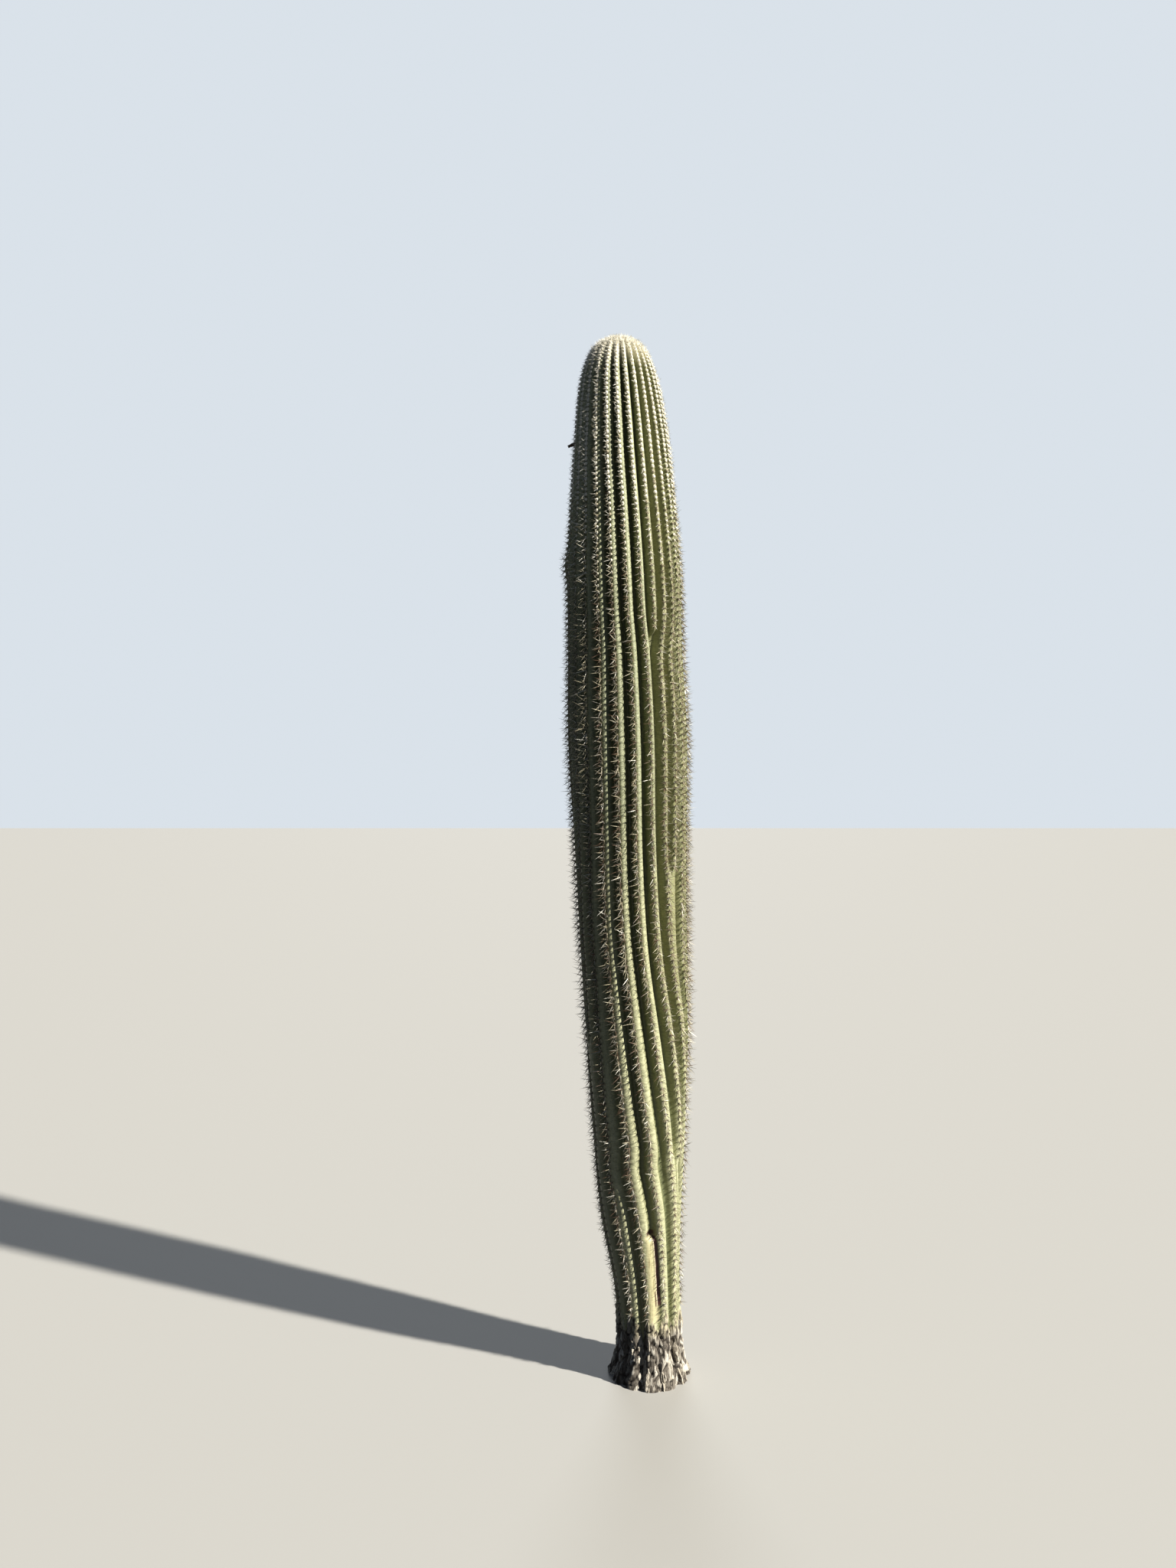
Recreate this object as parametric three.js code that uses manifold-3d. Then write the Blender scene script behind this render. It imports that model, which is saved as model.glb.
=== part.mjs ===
// Saguaro cactus: one armless, ribbed column, with a row of spines on every rib, a tuft on its tip
// and one dried fruit. Millimetres, +Z up. The origin is the middle of the flat cut at ground level,
// and the front of the plant faces -Y.

import * as THREE from 'three';
import { mergeVertices } from 'three/addons/utils/BufferGeometryUtils.js';
import Module from 'manifold-3d';

const { clamp, degToRad, lerp, smoothstep } = THREE.MathUtils;

// Outline of the column over its rib crests: height, radius and sideways lean of its middle.
// The first row is the flat cut with its root flare, and the last is the rim of the level tip.
const OUTLINE = [
  [0, 160, 0],
  [60, 137, 1],
  [150, 125, 1],
  [356, 128, -10],
  [639, 157, -34],
  [988, 180, -43],
  [1337, 198, -51],
  [1763, 210, -66],
  [2115, 218, -78],
  [2500, 229, -88],
  [2854, 220, -98],
  [3132, 217, -102],
  [3430, 195, -108],
  [3620, 178, -112],
  [3800, 155, -120],
  [3900, 131, -124],
  [3965, 98, -124],
  [3993, 62, -124],
  [4000, 34, -124],
];

// How far the ribs have wound round the column: height, and the angle of the fourth rib's crest in
// degrees to the right of the front.
const WINDING = [
  [0, 58],
  [640, 58],
  [918, 44.2],
  [1337, 23.6],
  [1763, 10.1],
  [2500, 8.8],
  [2800, 8],
  [2960, 5.3],
  [3132, 3.7],
  [3370, 1.5],
  [3600, -1.4],
  [4000, -2],
];
const ANCHOR_RIB = 3;
const FRONT_TURN = degToRad(-92.3);

// Ribs in order to the right, starting left of the front, as the widths that they want. A fork is where
// one rib becomes two, and a sprout is where a new rib rises out of the groove on an old one's right.
const RIB = 1;
const SLIM = 0.87;
const RIBS = [
  RIB,
  RIB,
  RIB,
  fork(840, RIB, sprout(2855, SLIM, SLIM)),
  fork(1950, SLIM, SLIM),
  fork(1000, SLIM, RIB),
  fork(1400, RIB, RIB),
  fork(1150, fork(2750, RIB, RIB), fork(2150, RIB, RIB)),
  sprout(1500, RIB, RIB),
  fork(1050, RIB, fork(2950, RIB, RIB)),
  fork(1600, fork(1850, RIB, RIB), RIB),
  fork(1300, RIB, RIB),
];
const FORK_LEAD = 350; // a rib starts to broaden this far below its fork
const FORK_GROWTH = 350; // and its two branches are full ribs this far above it
const GROOVE_RISE = 110; // height over which the groove of a fork cuts in
const MERGED_SPREAD = 0.5; // how far apart the crests stay below their fork, as a share
const SPROUT_LEAST = 0.06; // width of a new rib below its sprout, as a share of a full one
const SPROUT_LEAD = 95; // it starts to broaden this far below the sprout
const SPROUT_GROWTH = 125; // and is a full rib this far above it
const SPROUT_RISE = 40; // height over which its crest rises out of the groove

// Grooves between the ribs
const GROOVE_DEPTH = 42;
const GROOVE_SLOPE = 1.4; // depth over half a rib's width, where ribs are narrow
const FOOT_GROOVE = 0.35; // share of the depth that is left in the corky foot
const FOOT_HEIGHT = 380;
const CREST_FALL = 0.15; // share of the depth that goes into the roundness of the blunt crest
const WALL_FROM = 0.28; // where the steep wall starts and ends, across half a rib
const WALL_TO = 0.85;
const FLANK_PLACE = 0.42; // place of the flank's edge between crest and groove

// A healed wound has filled the lower end of the groove on the left of the third rib.
const CALLUS_RIB = 2;
const CALLUS_TOP = 590;
const CALLUS_EDGE = 60;
const CALLUS_GROOVE = 0.3;

// A growth ring swells on the left of the column.
const SWELLING = { height: 3150, turn: -88, rise: 11, tall: 60, wide: 32 };

// Rings of the column's facets, closer at the foot and over the dome
const FOOT_LENGTH = 360;
const DOME_LENGTH = 560;
const FOOT_STEP = 72;
const BODY_STEP = 142;
const DOME_STEP = 52;

// Spine rows
const CLEARANCE = 0.35; // gap to the flesh
const ROW_FOOT = 270; // the corky foot below this has shed its spines
const ROW_DELAY = 110; // a new row starts this far above its fork
const ROW_TIP_RADIUS = 62;
const ROW_WIDTH = 5;
const SPINE_REACH = 31;
const SPINE_ROOT = 9;
const SPINE_PITCH = 49;
const SPINE_DROOP = 7; // how far the spines hang below the level of their root

// Tuft on the tip
const TUFT_HEIGHT = 9;
const TUFT_BEVEL = 6;
const TUFT_SIDES = 18;
const TUFT_CIRCLES = [
  { count: 1, radius: 0, tilt: 0, length: 34 },
  { count: 6, radius: 9, tilt: 16, length: 33 },
  { count: 10, radius: 18, tilt: 34, length: 33 },
  { count: 14, radius: 26, tilt: 54, length: 34 },
];
const TUFT_SPINE_RADIUS = 2.6;
const TUFT_SPINE_LIFT = 1; // how far a spine's root stands over the cushion's underside

// Dried fruit, hanging on the left beside a row of spines
const FRUIT = { height: 3612, turn: -88, length: 30, sunk: 22, radius: 6.2, tip: 4.2, droop: 24, aside: 9.6 };
const FRUIT_SIDES = 9;
const FRUIT_STEPS = 3;

const COLOURS = { skin: '#7d8a4a', spines: '#cfc6a4', wool: '#e6e0cc', fruit: '#2c2320' };

function fork(height, left, right) {
  return { height, left, right, sprouts: false };
}

function sprout(height, left, right) {
  return { height, left, right, sprouts: true };
}

// A smooth curve through rows of numbers. knots says how far along it each row lies, and each row's
// slope is worked out from its neighbours.
function smoothCurve(knots, rows) {
  const last = rows.length - 1;
  const slopes = rows.map((row, i) => {
    const before = Math.max(i - 1, 0);
    const after = Math.min(i + 1, last);
    return row.map((_, k) => (rows[after][k] - rows[before][k]) / (knots[after] - knots[before]));
  });
  return (place) => {
    const next = clamp(knots.findIndex((knot) => knot > place), 1, last);
    const i = place >= knots[last] ? last - 1 : next - 1;
    const span = knots[i + 1] - knots[i];
    const t = clamp((place - knots[i]) / span, 0, 1);
    const endShare = t * t * (3 - 2 * t);
    const startSlope = t * (1 - t) * (1 - t) * span;
    const endSlope = t * t * (t - 1) * span;
    return rows[i].map((value, k) =>
      lerp(value, rows[i + 1][k], endShare) + slopes[i][k] * startSlope + slopes[i + 1][k] * endSlope);
  };
}

// Distance of each row of the outline from the first, along its surface
function surfaceKnots(outline) {
  let place = 0;
  return outline.map(([height, radius], i) => {
    if (i > 0) place += Math.hypot(height - outline[i - 1][0], radius - outline[i - 1][1]);
    return place;
  });
}

const outlineKnots = surfaceKnots(OUTLINE);
const outlineAt = smoothCurve(outlineKnots, OUTLINE);
const windingAt = smoothCurve(WINDING.map(([height]) => height), WINDING.map(([, angle]) => [angle]));

// Widths that the two branches of a fork or a sprout want at a height
function branchShares(branch, height) {
  const left = ribShare(branch.left, height);
  const right = ribShare(branch.right, height);
  if (!branch.sprouts) return [left, right];
  const grown = smoothstep(height, branch.height - SPROUT_LEAD, branch.height + SPROUT_GROWTH);
  return [left, right * lerp(SPROUT_LEAST, 1, grown)];
}

// Width that a branch of the ribs wants at a height
function ribShare(branch, height) {
  if (typeof branch === 'number') return branch;
  const [left, right] = branchShares(branch, height);
  if (branch.sprouts) return left + right;
  const grown = smoothstep(height, branch.height - FORK_LEAD, branch.height + FORK_GROWTH);
  return lerp(RIB, left + right, grown);
}

// Spreads a branch over its share of the turn. Each rib gets the angle of its crest and of the groove on
// its left, the shares of the full depth that the two have sunk, and the height where its spines start.
function spreadBranch(branch, height, start, width, from) {
  if (typeof branch === 'number') {
    return [{ crest: start + width / 2, groove: start, sunk: 0, depth: 1, from }];
  }
  const [leftShare, rightShare] = branchShares(branch, height);
  const leftWidth = (width * leftShare) / (leftShare + rightShare);
  const ribs = spreadBranch(branch.left, height, start, leftWidth, from);
  const rightStart = ribs.length;
  const rightFrom = branch.height + ROW_DELAY;
  ribs.push(...spreadBranch(branch.right, height, start + leftWidth, width - leftWidth, rightFrom));
  if (branch.sprouts) {
    ribs[rightStart].sunk = 1 - smoothstep(height, branch.height, branch.height + SPROUT_RISE);
    return ribs;
  }
  const open = smoothstep(height, branch.height, branch.height + GROOVE_RISE);
  ribs[rightStart].depth = open;
  const spread = lerp(MERGED_SPREAD, 1, open);
  const middle = start + width / 2;
  ribs.forEach((rib, i) => {
    rib.crest = lerp(middle, rib.crest, spread);
    if (i > 0) rib.groove = lerp(middle, rib.groove, spread);
  });
  return ribs;
}

// All ribs at a height, turned to where they have wound to
function ribsAt(height) {
  const total = RIBS.reduce((sum, branch) => sum + ribShare(branch, height), 0);
  const ribs = [];
  let start = 0;
  for (const branch of RIBS) {
    const width = (2 * Math.PI * ribShare(branch, height)) / total;
    ribs.push(...spreadBranch(branch, height, start, width, ROW_FOOT));
    start += width;
  }
  ribs[CALLUS_RIB].depth *= lerp(CALLUS_GROOVE, 1, smoothstep(height, CALLUS_TOP - CALLUS_EDGE, CALLUS_TOP));
  const turn = FRONT_TURN + degToRad(windingAt(height)[0]) - ribs[ANCHOR_RIB].crest;
  return ribs.map((rib) => ({ ...rib, crest: rib.crest + turn, groove: rib.groove + turn }));
}

// Share of a groove's depth that a rib has fallen at a place across it, from 0 on its crest to 1
function ribFall(reach) {
  const wall = smoothstep(reach, WALL_FROM, WALL_TO);
  return CREST_FALL * reach * reach + (1 - CREST_FALL) * wall;
}

function fullDepth(height, radius, ribCount) {
  const foot = lerp(FOOT_GROOVE, 1, smoothstep(height, 0, FOOT_HEIGHT));
  const rim = smoothstep(radius, OUTLINE.at(-1)[1], 2 * OUTLINE.at(-1)[1]);
  return Math.min(GROOVE_DEPTH * foot, (GROOVE_SLOPE * Math.PI * radius) / ribCount) * rim;
}

// How far the growth ring stands out at a height and an angle
function swellingAt(height, angle) {
  const offTurn = Math.atan2(
    Math.sin(angle - FRONT_TURN - degToRad(SWELLING.turn)),
    Math.cos(angle - FRONT_TURN - degToRad(SWELLING.turn)),
  );
  const across = offTurn / degToRad(SWELLING.wide);
  const along = (height - SWELLING.height) / SWELLING.tall;
  return SWELLING.rise * Math.exp(-across * across - along * along);
}

// One ring of the column: the points of every rib from its left groove over its crest, and the crests
// on their own with their directions for the spine rows
function ringAt(place) {
  const [height, radius, lean] = outlineAt(place);
  const ahead = outlineAt(place + 1);
  const behind = outlineAt(place - 1);
  const slope = Math.atan2(behind[1] - ahead[1], ahead[0] - behind[0]);
  const ribs = ribsAt(height);
  const depth = fullDepth(height, radius, ribs.length);
  const fallen = ribFall(FLANK_PLACE);
  const pointAt = (angle, fall) => {
    const reach = radius - fall + swellingAt(height, angle);
    return new THREE.Vector3(lean + reach * Math.cos(angle), reach * Math.sin(angle), height);
  };
  const points = [];
  const crests = [];
  ribs.forEach((rib, i) => {
    const next = ribs[(i + 1) % ribs.length];
    const nextGroove = i + 1 < ribs.length ? next.groove : next.groove + 2 * Math.PI;
    const crest = pointAt(rib.crest, depth * rib.sunk);
    const flankTo = (groove, grooveDepth) => pointAt(
      lerp(rib.crest, groove, FLANK_PLACE),
      depth * lerp(rib.sunk, grooveDepth, fallen),
    );
    points.push(
      pointAt(rib.groove, depth * rib.depth),
      flankTo(rib.groove, rib.depth),
      crest,
      flankTo(nextGroove, next.depth),
    );
    const around = new THREE.Vector3(-Math.sin(rib.crest), Math.cos(rib.crest), 0);
    const outward = new THREE.Vector3(Math.cos(rib.crest), Math.sin(rib.crest), 0)
      .multiplyScalar(Math.cos(slope))
      .setZ(Math.sin(slope));
    crests.push({ point: crest, around, outward, from: rib.from, radius });
  });
  return { points, crests, middle: new THREE.Vector3(lean, 0, height) };
}

function ringPlaces() {
  const length = outlineKnots.at(-1);
  const stretches = [
    [0, FOOT_LENGTH, FOOT_STEP],
    [FOOT_LENGTH, length - DOME_LENGTH, BODY_STEP],
    [length - DOME_LENGTH, length, DOME_STEP],
  ];
  const places = [0];
  for (const [start, end, step] of stretches) {
    const count = Math.round((end - start) / step);
    for (let k = 1; k <= count; k += 1) places.push(lerp(start, end, k / count));
  }
  return places;
}

function geometryFrom(points, triangles) {
  const geometry = new THREE.BufferGeometry().setFromPoints(points);
  geometry.setIndex(triangles);
  geometry.computeVertexNormals();
  return geometry;
}

// A closed tube through rings of equal length, each turning counter-clockwise seen from the end, with
// a fan of faces on both ends
function tubeGeometry(rings, startMiddle, endMiddle) {
  const count = rings[0].length;
  const points = rings.flat();
  const triangles = [];
  for (let r = 0; r + 1 < rings.length; r += 1) {
    for (let k = 0; k < count; k += 1) {
      const a = r * count + k;
      const b = r * count + ((k + 1) % count);
      triangles.push(a, b, b + count, a, b + count, a + count);
    }
  }
  const start = points.push(startMiddle) - 1;
  const end = points.push(endMiddle) - 1;
  const top = (rings.length - 1) * count;
  for (let k = 0; k < count; k += 1) {
    const next = (k + 1) % count;
    triangles.push(start, next, k, end, top + k, top + next);
  }
  return geometryFrom(points, triangles);
}

function stemGeometry(rings) {
  return tubeGeometry(rings.map((ring) => ring.points), rings[0].middle, rings.at(-1).middle);
}

// A toothed blade along one rib's crest: a slim core on the flesh, whose edge runs out to the tips of
// the spines and back
function spineRowGeometry(rings, rib) {
  const crests = rings
    .map((ring) => ring.crests[rib])
    .filter((crest) => crest.point.z >= crest.from && crest.radius >= ROW_TIP_RADIUS);
  const stations = [];
  crests.slice(0, -1).forEach((crest, i) => {
    const next = crests[i + 1];
    const count = Math.max(1, Math.round(crest.point.distanceTo(next.point) / SPINE_PITCH));
    for (let k = 0; k < count; k += 1) {
      stations.push({
        point: crest.point.clone().lerp(next.point, k / count),
        around: crest.around.clone().lerp(next.around, k / count).normalize(),
        outward: crest.outward.clone().lerp(next.outward, k / count).normalize(),
      });
    }
  });
  stations.push(crests.at(-1));
  const sections = stations.map(({ point, around, outward }, i) => {
    const isTip = i % 2 === 1 && i + 1 < stations.length;
    const root = point.clone().addScaledVector(outward, CLEARANCE);
    const edge = point.clone().addScaledVector(outward, isTip ? SPINE_REACH : SPINE_ROOT);
    if (isTip) edge.z -= SPINE_DROOP * Math.abs(around.clone().cross(outward).z);
    return [
      root.clone().addScaledVector(around, -ROW_WIDTH / 2),
      edge,
      root.clone().addScaledVector(around, ROW_WIDTH / 2),
    ];
  });
  const points = sections.flat();
  const last = points.length - 3;
  const triangles = [0, 2, 1, last, last + 1, last + 2];
  for (let s = 0; s + 3 < points.length; s += 3) {
    for (let k = 0; k < 3; k += 1) {
      const a = s + k;
      const b = s + ((k + 1) % 3);
      triangles.push(a, b, b + 3, a, b + 3, a + 3);
    }
  }
  return geometryFrom(points, triangles);
}

const wasm = await Module();
wasm.setup();

function solidFrom(geometry) {
  const bare = geometry.clone();
  bare.deleteAttribute('normal');
  bare.deleteAttribute('uv');
  const merged = mergeVertices(bare);
  return new wasm.Manifold(new wasm.Mesh({
    numProp: 3,
    vertProperties: new Float32Array(merged.attributes.position.array),
    triVerts: new Uint32Array(merged.index.array),
  }));
}

function geometryOf(solid) {
  const mesh = solid.getMesh();
  const geometry = new THREE.BufferGeometry();
  geometry.setAttribute('position', new THREE.BufferAttribute(mesh.vertProperties, 3));
  geometry.setIndex(new THREE.BufferAttribute(mesh.triVerts, 1));
  geometry.computeVertexNormals();
  return geometry;
}

// A tuft of upright spines that stand out of a low, level cushion on the tip
function tuftGeometry() {
  const rim = OUTLINE.at(-1)[1];
  const cushion = new THREE.CylinderGeometry(rim - TUFT_BEVEL, rim, TUFT_HEIGHT, TUFT_SIDES);
  let tuft = solidFrom(cushion.rotateX(Math.PI / 2).translate(0, 0, TUFT_HEIGHT / 2));
  for (const { count, radius, tilt, length } of TUFT_CIRCLES) {
    for (let k = 0; k < count; k += 1) {
      const spine = new THREE.ConeGeometry(TUFT_SPINE_RADIUS, length, 3)
        .rotateX(Math.PI / 2)
        .translate(0, 0, length / 2 + TUFT_SPINE_LIFT)
        .rotateY(degToRad(tilt))
        .translate(radius, 0, 0)
        .rotateZ((k * 2 * Math.PI) / count + radius);
      tuft = tuft.add(solidFrom(spine));
    }
  }
  return geometryOf(tuft.trimByPlane([0, 0, 1], 0));
}

// The rib whose crest is nearest to an angle right of the front, with its crest at a height
function crestNear(height, turn) {
  const place = outlineKnots.at(-1) * (height / OUTLINE.at(-1)[0]);
  const crests = ringAt(place).crests;
  const wanted = new THREE.Vector3(Math.cos(FRONT_TURN + turn), Math.sin(FRONT_TURN + turn), 0);
  return crests.reduce((best, crest) => (crest.outward.dot(wanted) > best.outward.dot(wanted) ? crest : best));
}

// The dried fruit, cut off level with the flesh that it hangs on
function fruitGeometry(rings) {
  const crest = crestNear(FRUIT.height, degToRad(FRUIT.turn));
  const grown = rings.map((ring) => ring.points.map((point) => {
    const out = point.clone().sub(ring.middle);
    return point.clone().addScaledVector(out.normalize(), CLEARANCE);
  }));
  const flesh = solidFrom(tubeGeometry(grown, rings[0].middle, rings.at(-1).middle));
  const length = FRUIT.length + FRUIT.sunk;
  const pod = new THREE.CylinderGeometry(FRUIT.tip, FRUIT.radius, length, FRUIT_SIDES, FRUIT_STEPS)
    .translate(0, length / 2 - FRUIT.sunk, 0);
  const axis = crest.outward.clone().setZ(-Math.tan(degToRad(FRUIT.droop))).normalize();
  pod.applyQuaternion(new THREE.Quaternion().setFromUnitVectors(new THREE.Vector3(0, 1, 0), axis));
  const root = crest.point.clone().addScaledVector(crest.around, FRUIT.aside);
  pod.translate(root.x, root.y, root.z);
  return geometryOf(solidFrom(pod).subtract(flesh));
}

function makeMesh(name, geometry, colour, roughness) {
  const material = new THREE.MeshStandardMaterial({ color: colour, roughness, metalness: 0 });
  const mesh = new THREE.Mesh(geometry, material);
  mesh.name = name;
  return mesh;
}

const rings = ringPlaces().map(ringAt);
const saguaro = new THREE.Group();
saguaro.add(makeMesh('stem', stemGeometry(rings), COLOURS.skin, 0.6));

rings[0].crests.forEach((_, rib) => {
  const name = `spine_row_${String(rib + 1).padStart(2, '0')}`;
  saguaro.add(makeMesh(name, spineRowGeometry(rings, rib), COLOURS.spines, 0.7));
});

const tuft = makeMesh('crown_spines', tuftGeometry(), COLOURS.wool, 0.9);
tuft.position.copy(rings.at(-1).middle).setZ(rings.at(-1).middle.z + CLEARANCE);
saguaro.add(tuft);

saguaro.add(makeMesh('dried_fruit', fruitGeometry(rings), COLOURS.fruit, 0.8));

export default saguaro;
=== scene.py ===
"""Looks of an armless saguaro cactus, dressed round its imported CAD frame.

The column is one surface that is addressed by its place along the outline, a rib, and a place across
that rib. Flesh, cork, felt pads, spines, wool and fruit are all laid out on that surface, by the same
rule that the CAD solids follow. Lengths are in metres and angles in radians, unless a name says
degrees.
"""

import logging
import math
from dataclasses import dataclass, field
from enum import Enum

import bpy
import numpy as np
from mathutils import Matrix, Vector


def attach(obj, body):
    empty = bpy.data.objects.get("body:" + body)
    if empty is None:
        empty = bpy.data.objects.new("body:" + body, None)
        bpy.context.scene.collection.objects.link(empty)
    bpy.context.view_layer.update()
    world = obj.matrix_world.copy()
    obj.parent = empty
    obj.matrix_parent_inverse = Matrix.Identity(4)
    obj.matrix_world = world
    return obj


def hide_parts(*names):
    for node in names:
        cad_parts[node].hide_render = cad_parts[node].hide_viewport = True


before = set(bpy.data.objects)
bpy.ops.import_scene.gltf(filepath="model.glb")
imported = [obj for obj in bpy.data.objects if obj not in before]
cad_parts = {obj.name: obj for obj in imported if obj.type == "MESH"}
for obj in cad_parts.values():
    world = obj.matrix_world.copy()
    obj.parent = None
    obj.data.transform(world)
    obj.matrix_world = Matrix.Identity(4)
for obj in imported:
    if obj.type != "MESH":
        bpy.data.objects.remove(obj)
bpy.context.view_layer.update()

BODY = "root"
SEED = 4117
TAU = 2 * math.pi

log = logging.getLogger("saguaro")


def smoothstep(value: np.ndarray, low: float, high: float) -> np.ndarray:
    """Rises smoothly from 0 at low to 1 at high.

    Args:
        value: Numbers to test.
        low: Where the rise starts.
        high: Where it ends.

    Returns:
        A number from 0 to 1 for each value.
    """
    t = np.clip((value - low) / (high - low), 0.0, 1.0)
    return t * t * (3 - 2 * t)


def bell(value: np.ndarray, middle: float, width: float) -> np.ndarray:
    """A bell curve that is 1 at its middle and falls off over its width."""
    return np.exp(-(((value - middle) / width) ** 2))


def unit(vectors: np.ndarray) -> np.ndarray:
    """The same directions at length 1."""
    return vectors / np.maximum(np.linalg.norm(vectors, axis=-1, keepdims=True), 1e-12)


@dataclass(frozen=True)
class SmoothCurve:
    """A smooth curve through rows of numbers, with each row's slope taken from its neighbours."""

    knots: np.ndarray
    rows: np.ndarray

    def at(self, place: np.ndarray) -> np.ndarray:
        """Reads the curve.

        Args:
            place: Places along the knots.

        Returns:
            One row of numbers for each place.
        """
        last = len(self.knots) - 1
        before = np.maximum(np.arange(last + 1) - 1, 0)
        after = np.minimum(np.arange(last + 1) + 1, last)
        slopes = (self.rows[after] - self.rows[before]) / (self.knots[after] - self.knots[before])[:, None]
        i = np.clip(np.searchsorted(self.knots, place, side="right") - 1, 0, last - 1)
        span = (self.knots[i + 1] - self.knots[i])[:, None]
        t = np.clip((place[:, None] - self.knots[i][:, None]) / span, 0.0, 1.0)
        share = t * t * (3 - 2 * t)
        level = self.rows[i] * (1 - share) + self.rows[i + 1] * share
        return level + (slopes[i] * t * (1 - t) ** 2 + slopes[i + 1] * t * t * (t - 1)) * span


@dataclass
class SmoothNoise:
    """Seeded noise on a plane: random levels on a lattice, joined smoothly."""

    seed: int
    size: int = 256
    lattice: np.ndarray = field(init=False)

    def __post_init__(self) -> None:
        """Draws the lattice."""
        self.lattice = np.random.default_rng(self.seed).uniform(-1, 1, (self.size, self.size))

    def at(self, x: np.ndarray, y: np.ndarray, wrap: int | None = None) -> np.ndarray:
        """Reads the noise.

        Args:
            x: Places across, in lattice cells.
            y: Places along, in lattice cells.
            wrap: Number of cells after which x repeats.

        Returns:
            Levels from -1 to 1.
        """
        wrap = wrap or self.size
        column, row = np.floor(x).astype(int), np.floor(y).astype(int)
        across, along = x - column, y - row
        across = across * across * (3 - 2 * across)
        along = along * along * (3 - 2 * along)
        left, right = column % wrap % self.size, (column + 1) % wrap % self.size
        low, high = row % self.size, (row + 1) % self.size
        start = self.lattice[left, low] * (1 - across) + self.lattice[right, low] * across
        end = self.lattice[left, high] * (1 - across) + self.lattice[right, high] * across
        return start * (1 - along) + end * along


@dataclass
class Cells:
    """Seeded cells round a ring, such as plates of bark between their cracks."""

    seed: int
    around: int
    rows: int
    seeds: np.ndarray = field(init=False)
    tones: np.ndarray = field(init=False)

    def __post_init__(self) -> None:
        """Draws each cell's middle and tone."""
        rng = np.random.default_rng(self.seed)
        shape = (self.around, self.rows)
        self.seeds = rng.uniform(0, 1, (*shape, 2))
        self.tones = rng.uniform(0, 1, shape)

    def at(self, x: np.ndarray, y: np.ndarray) -> tuple[np.ndarray, np.ndarray]:
        """Reads the cells.

        Args:
            x: Places round the ring, in cells.
            y: Places along, in cells.

        Returns:
            How far each place is from the nearest crack, in cells, and its cell's tone.
        """
        column, row = np.floor(x).astype(int), np.floor(y).astype(int)
        nearest, second = np.full(x.shape, np.inf), np.full(x.shape, np.inf)
        tone = np.zeros(x.shape)
        for right in (-1, 0, 1):
            for up in (-1, 0, 1):
                i, j = (column + right) % self.around, (row + up) % self.rows
                middle = self.seeds[i, j]
                off = np.hypot(column + right + middle[..., 0] - x, row + up + middle[..., 1] - y)
                closer = off < nearest
                second = np.where(closer, nearest, np.minimum(second, off))
                tone = np.where(closer, self.tones[i, j], tone)
                nearest = np.minimum(nearest, off)
        return second - nearest, tone


@dataclass(frozen=True)
class Fork:
    """A rib that becomes two as it goes up: it splits, or a new rib sprouts out of the groove on its
    right. A branch that never forks is the width that its rib wants, where a full one is 1."""

    height: float
    left: "Fork | float" = 1.0
    right: "Fork | float" = 1.0
    sprouts: bool = False


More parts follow.
